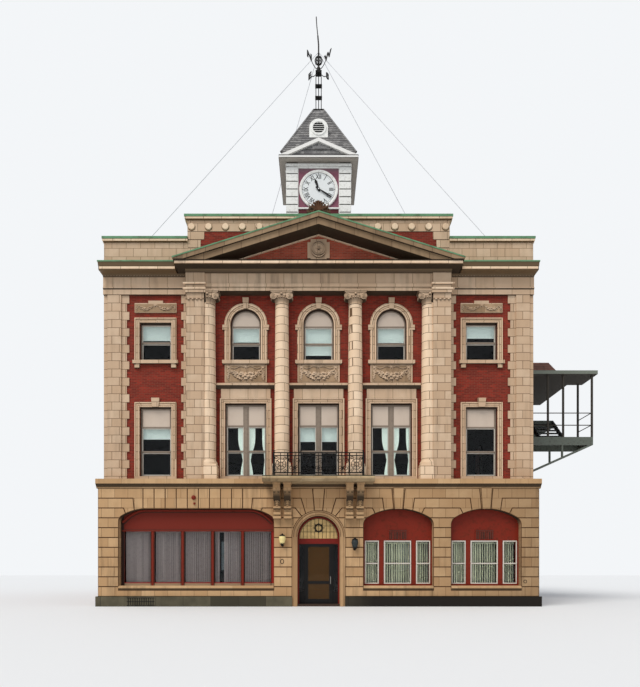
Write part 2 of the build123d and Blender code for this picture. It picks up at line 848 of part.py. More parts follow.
def columns():
    """Engaged columns on pedestals, with a torus base and a shaft that tapers in its upper part."""
    made = []
    z0 = z_upper + PEDESTAL_H + BASE_H
    z1 = z_order - CAPITAL_H
    third = z0 + (z1 - z0) / 3
    torus_r = COLUMN_R + BASE_H * 0.3
    for x in COLUMN_X:
        half = PEDESTAL_HALF
        pedestal = slab(x - half, x + half, COLUMN_Y - half, 0, z_upper, z0 - BASE_H)
        half -= PEDESTAL_LEDGE
        base = slab(x - half, x + half, COLUMN_Y - half, 0, z0 - BASE_H, z0 - BASE_H * 0.6)
        profile = [
            (torus_r, z0 - BASE_H * 0.6),
            (torus_r, z0 - BASE_H * 0.2),
            (COLUMN_R, z0 + BASE_H * 0.3),
            (COLUMN_R, third),
            (COLUMN_TOP_R, z1),
        ]
        column = (turned(profile, x, COLUMN_Y, SHAFT_SIDES) + base + pedestal) & column_tool()
        made += both(column)
    return made


def capitals():
    """Scrolled capitals: a bolster with two volutes on the front and a square abacus."""
    made = []
    z0 = z_order - CAPITAL_H
    z1 = z_order - CAPITAL_H * 0.2
    half = CAPITAL_HALF
    roll_z = z0 + VOLUTE_R
    front = COLUMN_Y - COLUMN_R - VOLUTE_OUT
    for x in COLUMN_X:
        capital = turned([(COLUMN_TOP_R * 1.04, z0), (COLUMN_R * 1.2, z1)], x, COLUMN_Y, SHAFT_SIDES)
        capital += slab(x - half, x + half, front, 0, z1, z_order)
        capital += slab(x - half + VOLUTE_R, x + half - VOLUTE_R, front + PEDESTAL_LEDGE, 0, roll_z, z1)
        for cx in (x - half + VOLUTE_IN, x + half - VOLUTE_IN):
            z = roll_z + PEDESTAL_LEDGE
            capital += rod((cx, front, z), (cx, -QUOIN_OUT, z), VOLUTE_R, 16)
        made += both(capital & column_tool(PIER_CAP_OUT))
    return made


def window_surrounds():
    """Terra-cotta surrounds of the upper windows, with impost blocks and keystones."""
    made = []
    y0 = -SURROUND_OUT
    for x in (-BAY, 0, BAY):
        z0, z1 = z_upper + SECOND_SILL, z_upper + PAIR_HEAD
        outer = slab(x - PAIR_HALF - SURROUND_W, x + PAIR_HALF + SURROUND_W, y0, 0, z0, z1 + SURROUND_W)
        made.append(outer - slab(x - PAIR_HALF, x + PAIR_HALF, y0 - 1, 1, z0 - 1, z1))
        spring = z_upper + THIRD_SPRING
        outer_r = THIRD_HALF + THIRD_BAND
        arch = arch_light(x, outer_r, y0, 0)
        impost_z = spring - IMPOST_DROP
        for side in (-1, 1):
            xa, xb = sorted((x + side * (outer_r - THIRD_BAND / 2), x + side * (outer_r + IMPOST_OUT)))
            arch += slab(xa, xb, y0 - IMPOST_FRONT, 0, impost_z - IMPOST_H, impost_z)
        crown = spring + THIRD_HALF
        arch += keystone(x, KEYSTONE_FOOT, KEYSTONE_HEAD, crown, crown + KEYSTONE_GAP + KEYSTONE_H, 2 * y0)
        made.append(arch - arch_light(x, THIRD_HALF, 4 * y0, 1, 1))
    heads = [(SECOND_SILL, WING_HEAD), (THIRD_SILL, THIRD_WING_HEAD)]
    for x in (-WING_X, WING_X):
        for sill, head in heads:
            z0, z1 = z_upper + sill, z_upper + head
            outer = slab(x - WING_HALF - SURROUND_W, x + WING_HALF + SURROUND_W, y0, 0, z0, z1 + SURROUND_W)
            if head == WING_HEAD:
                outer += keystone(x, WING_KEY_FOOT, WING_KEY_HEAD, z1, z1 + WING_KEY_H, 2 * y0)
            made.append(outer - slab(x - WING_HALF, x + WING_HALF, 4 * y0, 1, z0 - 1, z1))
    return made


def keystone(x, foot_half, head_half, z0, z1, y0):
    """Wedge-shaped block that widens upwards."""
    outline = [(x - foot_half, z0), (x + foot_half, z0), (x + head_half, z1), (x - head_half, z1)]
    return along_y(outline, y0, 0)


def window_sills():
    made = []
    z1 = z_upper + THIRD_SILL
    for x in (-BAY, 0, BAY):
        half = THIRD_HALF + THIRD_BAND + SILL_END
        made.append(slab(x - half, x + half, -SILL_OUT, 0, z1 - SILL_H, z1))
        half = PAIR_HALF + SURROUND_W
        made.append(slab(x - half, x + half, -SILL_OUT * 0.6, 0, z_upper, z_upper + SECOND_SILL))
    for x in (-WING_X, WING_X):
        half = WING_HALF + SURROUND_W + WING_SILL_END
        sill = slab(x - half, x + half, -SILL_OUT, 0, z1 - SILL_H, z1)
        for bx in (x - WING_HALF - SILL_BLOCK, x + WING_HALF + SILL_BLOCK):
            sill += slab(bx - SILL_BLOCK, bx + SILL_BLOCK, -SILL_OUT * 0.7, 0, z1 - SILL_H * 2, z1 - SILL_H)
        made.append(sill)
        half = WING_HALF + SURROUND_W
        made.append(slab(x - half, x + half, -SILL_OUT * 0.6, 0, z_upper, z_upper + SECOND_SILL))
    return made


def bay_cornices():
    """Cornice and lintel block over each paired window."""
    made = []
    z0 = z_upper + BAY_CORNICE_Z
    edge = COLUMN_R + 8
    spans = [(-COLUMN_X[0] + edge, COLUMN_X[0] - edge), (COLUMN_X[0] + edge, COLUMN_X[1] - edge)]
    section = [
        (0, z0),
        (-BAY_CORNICE_OUT * 0.4, z0),
        (-BAY_CORNICE_OUT, z0 + BAY_CORNICE_H * 0.5),
        (-BAY_CORNICE_OUT, z0 + BAY_CORNICE_H * 0.8),
        (-BAY_CORNICE_OUT * 0.5, z0 + BAY_CORNICE_H),
        (0, z0 + BAY_CORNICE_H),
    ]
    lintel_z = z_upper + PAIR_HEAD + SURROUND_W
    for (x0, x1), x in zip(spans, (0, BAY)):
        lintel = slab(x - LINTEL_HALF, x + LINTEL_HALF, -LINTEL_OUT, 0, lintel_z, z0)
        piece = along_x(section, x0, x1) + lintel
        made += [piece] if x == 0 else both(piece)
    return made


def swag_panels():
    """Raised panels that carry the garlands."""
    made = []
    z0 = z_upper + BAY_CORNICE_Z + BAY_CORNICE_H
    for x in (-BAY, 0, BAY):
        panel = slab(x - SWAG_HALF, x + SWAG_HALF, -SWAG_OUT, 0, z0, z0 + SWAG_H)
        half = SWAG_HALF - SWAG_RIM
        sink = SWAG_SINK - SWAG_OUT
        panel -= slab(x - half, x + half, -SWAG_OUT - 1, sink, z0 + SWAG_RIM, z0 + SWAG_H - SWAG_RIM)
        made.append(panel)
    z0 = z_upper + WING_SWAG_Z
    for x in (-WING_X, WING_X):
        half = WING_SWAG_HALF
        panel = slab(x - half, x + half, -SWAG_OUT, 0, z0, z0 + WING_SWAG_H)
        panel += slab(x - half * 0.35, x + half * 0.35, -SWAG_OUT, 0, z0, z0 + WING_SWAG_H * 1.25)
        made.append(panel)
    return made


def upper_window_frames():
    """Frames with a closed head panel and two sashes below it."""
    made = []
    y0, y1 = UPPER_FRAME_Y, UPPER_FRAME_Y + FRAME_T
    for x in (-BAY, 0, BAY):
        z0, z1 = z_upper + SECOND_SILL, z_upper + PAIR_HEAD
        frame = slab(x - PAIR_HALF, x + PAIR_HALF, y0, y1, z0, z1)
        for side in (-1, 1):
            x0, x1 = sorted((x + side * MULLION_HALF, x + side * (PAIR_HALF - SASH)))
            frame -= sash_cuts(x0, x1, z0 + SASH, z1 - PAIR_PANEL_H)
        made.append(frame)
        frame = arch_light(x, THIRD_HALF, y0, y1)
        half = THIRD_HALF - SASH
        z0, z1 = z_upper + THIRD_SILL + SASH, z_upper + THIRD_SPRING - ARCH_PANEL_LAP
        made.append(frame - sash_cuts(x - half, x + half, z0, z1))
    half = WING_HALF - SASH
    rows = [(SECOND_SILL, WING_HEAD, WING_PANEL_H), (THIRD_SILL, THIRD_WING_HEAD, SASH)]
    for x in (-WING_X, WING_X):
        for sill, head, panel in rows:
            z0, z1 = z_upper + sill, z_upper + head
            frame = slab(x - WING_HALF, x + WING_HALF, y0, y1, z0, z1)
            made.append(frame - sash_cuts(x - half, x + half, z0 + SASH, z1 - panel))
    return made


def sash_cuts(x0, x1, z0, z1):
    """The two lights of a double-hung window in an upper frame, with the meeting rail between them."""
    y0, y1 = UPPER_FRAME_Y - 1, UPPER_FRAME_Y + FRAME_T + 1
    middle = (z0 + z1) / 2
    return [slab(x0, x1, y0, y1, z0, middle - SASH / 2), slab(x0, x1, y0, y1, middle + SASH / 2, z1)]


def upper_glass():
    """One sheet of glass behind each upper window frame."""
    y0 = UPPER_FRAME_Y + FRAME_T
    return upper_openings(y0, y0 + GLASS_T)


# Entablature and pediment


def centre_entablature():
    """Architrave and frieze over the columns, breaking forward over the square piers."""
    half = ANTA_X1 + PIER_END
    inner = ANTA_X0 - PIER_NECK_OUT
    made = slab(-half, half, -ENTABLATURE_OUT, 0, z_order, z_bed)
    made += slab(-inner, inner, -ENTABLATURE_OUT - FILLET, 0, z_order + ARCHITRAVE_H * 0.5, z_frieze)
    front = -ENTABLATURE_OUT - BREAK_OUT
    for x0, x1 in [(-half, -inner), (inner, half)]:
        made += slab(x0, x1, front, 0, z_order, z_bed)
        made += slab(x0, x1, front - FILLET, 0, z_frieze - ARCHITRAVE_H * 0.25, z_frieze)
    bed = [(0, z_bed), (front, z_bed), (front - BED_H, z_corona), (0, z_corona)]
    made += along_x(bed, -half, half)
    return made


def wing_entablatures():
    """Architrave, frieze and cornice of each wing."""
    out = -WING_FRIEZE_OUT
    section = [
        (0, z_order),
        (out, z_order),
        (out, z_frieze - 2 * FILLET),
        (out - FILLET, z_frieze - FILLET),
        (out - FILLET, z_frieze),
        (out, z_frieze),
        (out, z_bed),
        (out - BED_H, z_corona),
        (0, z_corona),
    ]
    frieze = along_x(section, ANTA_X1 + PIER_END, FRONT_HALF)
    out = -WING_CORONA_OUT
    cornice = [
        (0, z_corona),
        (out, z_corona),
        (out, z_corona + CORONA_H - FILLET),
        (out - FILLET, z_corona + CORONA_H - FILLET / 2),
        (out - WING_CYMA_OUT, z_attic - COPPER_T),
        (0, z_attic - COPPER_T),
    ]
    return both(frieze + along_x(cornice, PEDIMENT_HALF + COPPER_LIP, FRONT_HALF + WING_CORNICE_END))


tip_z = z_order + PEDIMENT_TIP
apex_z = tip_z + PEDIMENT_HALF * PEDIMENT_SLOPE
rake_foot = (apex_z - COPPER_T - RAKE_T - z_corona - CORONA_H) / PEDIMENT_SLOPE


def tympanum():
    """Brick triangle behind the raking cornice."""
    z0 = z_corona + CORONA_H
    top = z0 + rake_foot * PEDIMENT_SLOPE
    return along_y([(-rake_foot, z0), (rake_foot, z0), (0, top)], -TYMPANUM_OUT, 0)


def pediment_cornices():
    """Horizontal cornice and the two raking cornices above it."""
    z0 = z_corona + CORONA_H
    half = PEDIMENT_HALF - FILLET
    out = -CENTRE_CORONA_OUT
    section = [(0, z_corona), (out, z_corona), (out, z0 - FILLET), (out - FILLET, z0), (0, z0)]
    flat = along_x(section, -half, half)
    low = tip_z - COPPER_T
    peak = apex_z - COPPER_T
    crown = RAKE_T * 0.4
    end = PEDIMENT_HALF
    outer = [(end, z0), (end, low), (0, peak), (-end, low), (-end, z0)]
    inner = [(-rake_foot, z0), (0, z0 + rake_foot * PEDIMENT_SLOPE), (rake_foot, z0)]
    raking = along_y(outer + inner, -RAKE_OUT, 0)
    end += 1
    band = [(end, z0 - 1), (end, low - crown), (0, peak - crown), (-end, low - crown), (-end, z0 - 1)]
    return [flat, raking - along_y(band, -RAKE_OUT - 1, -RAKE_OUT + CROWN_BACK)]


def copper_flashings():
    """Sheet-metal caps on the raking cornice and on the wing cornices."""
    lip = PEDIMENT_HALF + COPPER_LIP
    edge_z = tip_z - COPPER_LIP * PEDIMENT_SLOPE
    roof = [
        (lip, edge_z - COPPER_T),
        (lip, edge_z),
        (0, apex_z),
        (-lip, edge_z),
        (-lip, edge_z - COPPER_T),
        (0, apex_z - COPPER_T),
    ]
    cap = along_y(roof, -RAKE_OUT - COPPER_LIP, 0)
    x1 = FRONT_HALF + WING_CORNICE_END
    front = -WING_CORONA_OUT - WING_CYMA_OUT - COPPER_LIP
    wing = slab(lip, x1 + COPPER_LIP, front, 0, z_attic - COPPER_T, z_attic)
    return [cap] + both(wing)


def cartouche():
    """Notched square plate with a round medallion in the pediment."""
    z = z_corona + CORONA_H + rake_foot * PEDIMENT_SLOPE - CARTOUCHE_DROP
    half = CARTOUCHE_HALF
    notch = half * 0.72
    y1 = -TYMPANUM_OUT
    y0 = y1 - CARTOUCHE_OUT
    plate = slab(-half, half, y0, y1, z - notch, z + notch) + slab(-notch, notch, y0, y1, z - half, z + half)
    return plate + disc(0, z, MEDALLION_R, y0 - MEDALLION_OUT, y0 + 1)


def acroterion():
    """Shell between two scrolls on the apex."""
    y0 = -RAKE_OUT + SHELL_IN
    y1 = y0 + SHELL_T
    z = apex_z
    shell = slab(-SHELL_NECK, SHELL_NECK, y0, y1, z - 1, z + SHELL_RISE)
    shell += rod((0, y0, z + SHELL_RISE), (0, y1, z + SHELL_RISE), SHELL_R, 16)
    for x, rise, radius in SHELL_ROLLS:
        for side in (-x, x):
            shell += rod((side, y0, z + rise), (side, y1, z + rise), radius, 12)
    half = SHELL_HALF
    side_z = z - half * PEDIMENT_SLOPE
    block = [(-half, z - half), (half, z - half), (half, side_z), (0, z), (-half, side_z)]
    return shell - along_y(block, y0 - 1, y1 + 1)


# Attic


def attic_walls():
    """Tall middle attic behind the pediment and a low one over each wing."""
    half = CENTRE_ATTIC_HALF
    middle = slab(-half, half, 0, WALL, z_attic, z_attic + CENTRE_ATTIC_H - COPING_H)
    z1 = z_attic + WING_ATTIC_H - COPING_H
    wing = slab(CENTRE_ATTIC_HALF, FRONT_HALF, 0, WALL, z_attic, z1)
    return [middle] + both(wing)


def attic_copings():
    """Moulded copings on the attic and the parapets."""
    out = COPING_OUT
    z1 = z_attic + CENTRE_ATTIC_H
    z0 = z1 - COPING_H
    half = CENTRE_ATTIC_HALF + out

    def section(za, depth):
        return [
            (0, za),
            (-out * 0.6, za + COPING_H * 0.3),
            (-out, za + COPING_H * 0.6),
            (-out, za + COPING_H),
            (depth + COPING_LAP, za + COPING_H),
            (depth + COPING_LAP, za),
        ]

    made = [along_x(section(z0, WALL), -half, half)]
    za = z_attic + WING_ATTIC_H - COPING_H
    x0, x1 = FRONT_HALF - WALL - COPING_LAP, FRONT_HALF + COPING_LAP
    y1 = rear + COPING_LAP
    made += both(along_x(section(za, WALL), CENTRE_ATTIC_HALF, x1))
    made += both(slab(x0, x1, WALL + COPING_LAP, y1, za, za + COPING_H))
    made.append(slab(-x0, x0, rear - WALL - COPING_LAP, y1, za, za + COPING_H))
    return made


# Side and rear walls, floors and roof


def side_wall_outline():
    top = z_attic + WING_ATTIC_H - COPING_H
    return [
        (STONE_BACK, 0),
        (rear, 0),
        (rear, top),
        (WALL, top),
        (WALL, z_upper),
        (STONE_BACK, z_upper),
    ]


def window_rows():
    """Sill heights of the three rows of flank and rear windows."""
    return [PLINTH_H + GROUND_SIDE_SILL, z_upper + SECOND_SIDE_SILL, z_upper + THIRD_SILL]


def side_windows():
    """(position along the wall, sill) of each flank window."""
    pitch = (rear - 2 * WALL) / SIDE_BAYS
    return [(WALL + pitch * (i + 0.5), z) for i in range(SIDE_BAYS) for z in window_rows()]


def rear_windows():
    pitch = 2 * (FRONT_HALF - WALL) / REAR_BAYS
    return [(-FRONT_HALF + WALL + pitch * (i + 0.5), z) for i in range(REAR_BAYS) for z in window_rows()]


def party_wall():
    """Plain wall on the neighbour's side."""
    return along_x(side_wall_outline(), -FRONT_HALF, -FRONT_HALF + WALL)


def flank_wall():
    wall = along_x(side_wall_outline(), FRONT_HALF - WALL, FRONT_HALF)
    x0, x1 = FRONT_HALF - WALL - 1, FRONT_HALF + 1
    half = SIDE_WINDOW_HALF
    for y, z in side_windows():
        wall -= slab(x0, x1, y - half, y + half, z, z + SIDE_WINDOW_H)
    return wall


def rear_wall():
    inner = FRONT_HALF - WALL
    wall = slab(-inner, inner, rear - WALL, rear, 0, z_attic + WING_ATTIC_H - COPING_H)
    half = SIDE_WINDOW_HALF
    for x, z in rear_windows():
        wall -= slab(x - half, x + half, rear - WALL - 1, rear + 1, z, z + SIDE_WINDOW_H)
    return wall


def back_window_frames():
    """Sash frames of the flank and rear windows."""
    made = []
    half = SIDE_WINDOW_HALF
    for y, z in side_windows():
        x0 = FRONT_HALF - SIDE_FRAME_IN
        x1 = x0 + FRAME_T
        frame = slab(x0, x1, y - half, y + half, z, z + SIDE_WINDOW_H)
        for za, zb in sash_lights(z):
            frame -= slab(x0 - 1, x1 + 1, y - half + SASH, y + half - SASH, za, zb)
        made.append(frame)
    for x, z in rear_windows():
        y0 = rear - SIDE_FRAME_IN
        y1 = y0 + FRAME_T
        frame = slab(x - half, x + half, y0, y1, z, z + SIDE_WINDOW_H)
        for za, zb in sash_lights(z):
            frame -= slab(x - half + SASH, x + half - SASH, y0 - 1, y1 + 1, za, zb)
        made.append(frame)
    return made


def sash_lights(z):
    """The two panes of a double-hung window with its sill at z."""
    middle = z + SIDE_WINDOW_H / 2
    return [(z + SASH, middle - SASH / 2), (middle + SASH / 2, z + SIDE_WINDOW_H - SASH)]


def back_glass():
    made = []
    half = SIDE_WINDOW_HALF
    for y, z in side_windows():
        x1 = FRONT_HALF - SIDE_FRAME_IN
        made.append(slab(x1 - GLASS_T, x1, y - half, y + half, z, z + SIDE_WINDOW_H))
    for x, z in rear_windows():
        y1 = rear - SIDE_FRAME_IN
        made.append(slab(x - half, x + half, y1 - GLASS_T, y1, z, z + SIDE_WINDOW_H))
    return made


def ground_floor():
    """Floor of the stone storey, with its tongue through the doorway as the threshold."""
    half = FRONT_HALF - WALL
    floor = slab(-half, half, STONE_BACK, rear - WALL, 0, FLOOR_T)
    return floor + slab(-DOOR_ARCH_R, DOOR_ARCH_R, stone_face, STONE_BACK, 0, FLOOR_T)


def upper_floors():
    half = FRONT_HALF - WALL
    second = slab(-half, half, STONE_BACK, rear - WALL, z_upper - UPPER_FLOOR_T, z_upper)
    z1 = z_upper + THIRD_FLOOR_Z
    third = slab(-half, half, WALL, rear - WALL, z1 - UPPER_FLOOR_T, z1)
    return [second, third]


def roof_deck():
    half = FRONT_HALF - WALL
    return slab(-half, half, WALL, rear - WALL, ROOF_Z - ROOF_T, ROOF_Z)


# Clock tower


def round_tower(piece, turns=(0, 90, 180, 270)):
    """Repeat a piece made for the front face on the other faces of the tower."""
    return [Pos(0, tower_mid, 0) * Rot(0, 0, turn) * Pos(0, -tower_mid, 0) * piece for turn in turns]


def tower_walls():
    """Four walls butted round the hollow tower."""
    t = TOWER_WALL
    wall = slab(-TOWER_HALF, TOWER_HALF - t, TOWER_Y, TOWER_Y + t, ROOF_Z, TOWER_TOP)
    return round_tower(wall)


def tower_corner_boards():
    """White corner boards, one angle at each corner."""
    out = CORNER_OUT
    a, b = TOWER_HALF - CORNER_W, TOWER_HALF
    angle = [
        (-b - out, TOWER_Y - out),
        (-a, TOWER_Y - out),
        (-a, TOWER_Y),
        (-b, TOWER_Y),
        (-b, TOWER_Y + CORNER_W),
        (-b - out, TOWER_Y + CORNER_W),
    ]
    return round_tower(along_z(angle, ROOF_Z, TOWER_TOP))


def tower_eaves():
    """Boxed eave with a low open gable on each side."""
    eave = Pos(0, tower_mid, TOWER_TOP + EAVE_H / 2) * Box(2 * EAVE_HALF, 2 * EAVE_HALF, EAVE_H)
    front = tower_mid - EAVE_HALF
    slope = GABLE_H / EAVE_HALF
    board = GABLE_BOARD
    boards = [
        (-EAVE_HALF, z_eave),
        (-EAVE_HALF + board / slope, z_eave),
        (0, z_eave + GABLE_H - board),
        (EAVE_HALF - board / slope, z_eave),
        (EAVE_HALF, z_eave),
        (0, z_eave + GABLE_H),
    ]
    return [eave] + round_tower(along_y(boards, front, front + GABLE_RECESS))


def tower_roof():
    """Steep hipped roof with a low gable roof running out to each face."""
    inset = EAVE_HALF - GABLE_RECESS
    knee = z_eave + SPIRE_H * GABLE_RECESS / (EAVE_HALF - SPIRE_TOP_HALF)
    side = [
        (-inset, z_eave),
        (inset, z_eave),
        (inset, knee),
        (SPIRE_TOP_HALF, z_spire),
        (-SPIRE_TOP_HALF, z_spire),
        (-inset, knee),
    ]
    roof = along_y(side, tower_mid - inset, tower_mid + inset)
    roof &= along_x([(tower_mid + x, z) for x, z in side], -inset, inset)
    edge = z_eave + GABLE_RECESS * GABLE_H / EAVE_HALF
    gable = [(-inset, z_eave), (inset, z_eave), (inset, edge), (0, z_eave + GABLE_H), (-inset, edge)]
    for piece in round_tower(along_y(gable, tower_mid - inset, tower_mid + inset), (0, 90)):
        roof += piece
    return roof


def spire_half(z):
    """Half width of the steep roof at height z."""
    return EAVE_HALF - (EAVE_HALF - SPIRE_TOP_HALF) * (z - z_eave) / SPIRE_H


def tower_dormers():
    """Arch-topped boards that stand out of the steep roof, each with a round louvred hole."""
    z0 = z_eave + DORMER_Z
    spring = z0 + DORMER_H - DORMER_HALF
    face = tower_mid - spire_half(z0) - DORMER_OUT
    back = tower_mid - spire_half(z0 + DORMER_H) + DORMER_BACK
    board = arch_block(0, DORMER_HALF, z0, spring, DORMER_HALF, DORMER_HALF, face, back)
    board -= tower_roof()
    ring = rod((0, face - RING_OUT, spring), (0, face, spring), LOUVRE_R + LOUVRE_RING, 24)
    ring -= rod((0, face - RING_OUT - 1, spring), (0, face + 1, spring), LOUVRE_R, 24)
    for i in range(SLATS):
        z = spring - LOUVRE_R + 2 * LOUVRE_R * (i + 0.5) / SLATS
        half = math.sqrt(LOUVRE_R**2 - (abs(z - spring) + SLAT_RISE) ** 2) - SLAT_GAP
        tip = z - SLAT_RISE
        out = face - SLAT_OUT
        top = z + SLAT_RISE
        ring += along_x([(face, top), (out, tip + SLAT_T), (out, tip), (face, top - SLAT_T)], -half, half)
    return round_tower(board + ring)


def clock_dials():
    """A dial on each face; the hands of the three hidden faces stay fixed."""
    y0 = TOWER_Y - DIAL_T
    tip = minute_y - HAND_T - ARBOR_TIP
    dial = rod((0, y0, DIAL_Z), (0, TOWER_Y, DIAL_Z), DIAL_R, 48)
    fixed = dial + rod((0, tip, DIAL_Z), (0, y0, DIAL_Z), ARBOR_R)
    fixed += clock_hand(HOUR_LEN, HOUR_W, HOUR_DEG, hour_y)
    fixed += clock_hand(MINUTE_LEN, MINUTE_W, MINUTE_DEG, minute_y)
    return [dial + disc(0, DIAL_Z, ARBOR_R, tip, y0)] + round_tower(fixed, (90, 180, 270))


def clock_hand(length, width, degrees, y1, bore=None):
    """Tapered hand with a tail and a wide hub, pivoted on the middle of the dial."""
    outline = [
        (-width * 0.35, -length * 0.22),
        (width * 0.35, -length * 0.22),
        (HUB_R, -HUB_R / 2),
        (HUB_R, HUB_R / 2),
        (width * 0.3, HUB_R),
        (width * 0.6, length * 0.72),
        (0, length),
        (-width * 0.6, length * 0.72),
        (-width * 0.3, HUB_R),
        (-HUB_R, HUB_R / 2),
        (-HUB_R, -HUB_R / 2),
    ]
    hand = along_y(outline, y1 - HAND_T, y1)
    if bore:
        hand -= disc(0, 0, bore, y1 - HAND_T - 1, y1 + 1)
    return Pos(0, 0, DIAL_Z) * Rot(0, degrees, 0) * hand


def hour_hand():
    return clock_hand(HOUR_LEN, HOUR_W, HOUR_DEG, hour_y, ARBOR_R + SLIP)


def minute_hand():
    return clock_hand(MINUTE_LEN, MINUTE_W, MINUTE_DEG, minute_y, ARBOR_R + SLIP)


# Mast

mast_top = z_spire + MAST_PLATE_H + sum(MAST_STAGES) + (len(MAST_STAGES) - 1) * MAST_COLLAR_H + MAST_CAP_H
ball_z = mast_top + NECK_H + BALL_R + BALL_GAP


def mast():
    """Open timber frame with collars, a turned neck and a bent rod."""
    z = z_spire + MAST_PLATE_H
    made = centred_block(SPIRE_TOP_HALF, SPIRE_TOP_HALF, z_spire, z)
    half = MAST_POST / 2
    z_cap = mast_top - MAST_CAP_H
    for x in (half - MAST_HALF, MAST_HALF - half):
        for y in (half - MAST_DEPTH, MAST_DEPTH - half):
            made += Pos(0, y, 0) * slab(x - half, x + half, tower_mid - half, tower_mid + half, z, z_cap)
    made += rod((0, tower_mid, z), (0, tower_mid, z_cap), half)
    for height in MAST_STAGES[:-1]:
        z += height
        collar = (MAST_HALF + MAST_COLLAR_OUT, MAST_DEPTH + MAST_COLLAR_OUT)
        made += centred_block(*collar, z, z + MAST_COLLAR_H)
        z += MAST_COLLAR_H
    return made + centred_block(MAST_HALF, MAST_HALF, z_cap, mast_top)


def centred_block(half, depth, z0, z1):
    """Block on the axis of the tower, with half its width and half its depth given."""
    return slab(-half, half, tower_mid - depth, tower_mid + depth, z0, z1)


def mast_finial():
    """Turned neck, lattice ball and the bent rod above it."""
    z0 = mast_top
    profile = [
        (NECK_R, z0),
        (NECK_WAIST, z0 + NECK_H * 0.3),
        (NECK_BEAD, z0 + NECK_H * 0.6),
        (NECK_TOP, z0 + NECK_H),
        (MAST_ROD_R, ball_z - BALL_R),
    ]
    for i in range(1, BALL_BANDS):
        turn = math.pi * i / BALL_BANDS
        profile.append((BALL_R * math.sin(turn), ball_z - BALL_R * math.cos(turn)))
    profile.append((MAST_ROD_R, ball_z + BALL_R))
    finial = turned(profile, 0, tower_mid, TURNED_SIDES)
    collar_z = ball_z + BALL_R + STAY_TOP - STAY_COLLAR_H / 2
    finial += rod((0, tower_mid, collar_z), (0, tower_mid, collar_z + STAY_COLLAR_H), STAY_COLLAR_R)
    low = (0, tower_mid, ball_z + BALL_R - MAST_ROD_R)
    for x, rise in ROD_BENDS:
        high = (x, tower_mid, ball_z + BALL_R + rise)
        finial += rod(low, high, MAST_ROD_R)
        low = (x, tower_mid, high[2] - MAST_ROD_R)
    for arm in compass_arms():
        finial += arm
    return finial


def compass_arms():
    """Four diagonal arms that carry the compass letters."""
    z = ball_z - BALL_R - ARM_DROP
    arms = []
    for angle in (ARM_DEG, 180 - ARM_DEG, 180 + ARM_DEG, -ARM_DEG):
        x, y = ARM_REACH * math.cos(math.radians(angle)), ARM_REACH * math.sin(math.radians(angle))
        arms.append(rod((0, tower_mid, z), (x, tower_mid + y, z + ARM_RISE), ARM_R))
    return arms


def stays():
    """Four straight guys from the top of the mast to eyes on the copings."""
    coping_z = z_attic + WING_ATTIC_H
    made = []
    for x, y in STAY_FEET:
        away = Vector(x, y - tower_mid, 0).normalized() * (STAY_COLLAR_R + STAY_R)
        top = (away.X, tower_mid + away.Y, ball_z + BALL_R + STAY_TOP)
        eye = rod((x, y, coping_z), (x, y, coping_z + STAY_EYE_H), STAY_EYE_R)
        made.append(eye + rod((x, y, coping_z + STAY_EYE_H / 2), top, STAY_R))
    return made


# Landing and stair on the flank


def bracketed_landing(x1, y0, y1, z, foot):
    """Steel platform on the flank wall with a tray of channels and two raking chords."""
    low = z - LANDING_T
    edge = STEEL_BAR
    tray = slab(FRONT_HALF, x1, y0, y1, low, z)
    tray -= slab(FRONT_HALF + edge, x1 - edge, y0 + edge, y1 - edge, low - 1, z - DECK_T)
    chord = [(FRONT_HALF, foot), (x1 - 2 * CHORD_T, low), (x1, low), (FRONT_HALF, foot - CHORD_T)]
    slope = (low - foot) / (x1 - FRONT_HALF)
    post_z = foot + slope * (CHORD_POST_X - FRONT_HALF)
    for y in (y0, y1 - edge):
        tray += along_y(chord, y, y + edge)
        tray += slab(CHORD_POST_X, CHORD_POST_X + edge, y, y + edge, post_z, low)
    return tray


def side_landing():
    """Half landing near the front and the two landings at the far ends of its flights."""
    y1 = LANDING_Y0 + LANDING_DEPTH
    drop = LANDING_Z - LANDING_T - CHORD_FOOT
    half_landing = bracketed_landing(LANDING_X1, LANDING_Y0, y1, LANDING_Z, CHORD_FOOT)
    top_y = y1 + UPPER_RISERS * GOING
    top_z = z_upper + THIRD_FLOOR_Z
    x1 = UPPER_FLIGHT_X + FLIGHT_W
    top = bracketed_landing(x1, top_y, top_y + END_LANDING, top_z, top_z - LANDING_T - drop)
    low_y = y1 + LOWER_RISERS * GOING
    x1 = LOWER_FLIGHT_X + FLIGHT_W
    low = slab(FRONT_HALF, x1, low_y, low_y + END_LANDING, z_upper - LANDING_T, z_upper)
    return [half_landing, top, low]


def flight(x0, z0, z1, risers):
    """Two stringers with treads between them, from the half landing away from the street."""
    y0 = LANDING_Y0 + LANDING_DEPTH
    y1 = y0 + risers * GOING
    stringer = [(y0, z0 - STRINGER_H), (y0, z0), (y1, z1), (y1, z1 - STRINGER_H)]
    made = along_x(stringer, x0, x0 + STEEL_BAR)
    made += along_x(stringer, x0 + FLIGHT_W - STEEL_BAR, x0 + FLIGHT_W)
    for i in range(1, risers):
        y = y0 + GOING * i
        z = z0 + (z1 - z0) * i / risers
        top = z - TREAD_DROP
        made += slab(x0, x0 + FLIGHT_W, y - GOING / 2, y + GOING / 2, top - TREAD_T, top)
    return made


def side_stair():
    upper = flight(UPPER_FLIGHT_X, LANDING_Z, z_upper + THIRD_FLOOR_Z, UPPER_RISERS)
    return [upper, flight(LOWER_FLIGHT_X, LANDING_Z, z_upper, LOWER_RISERS)]


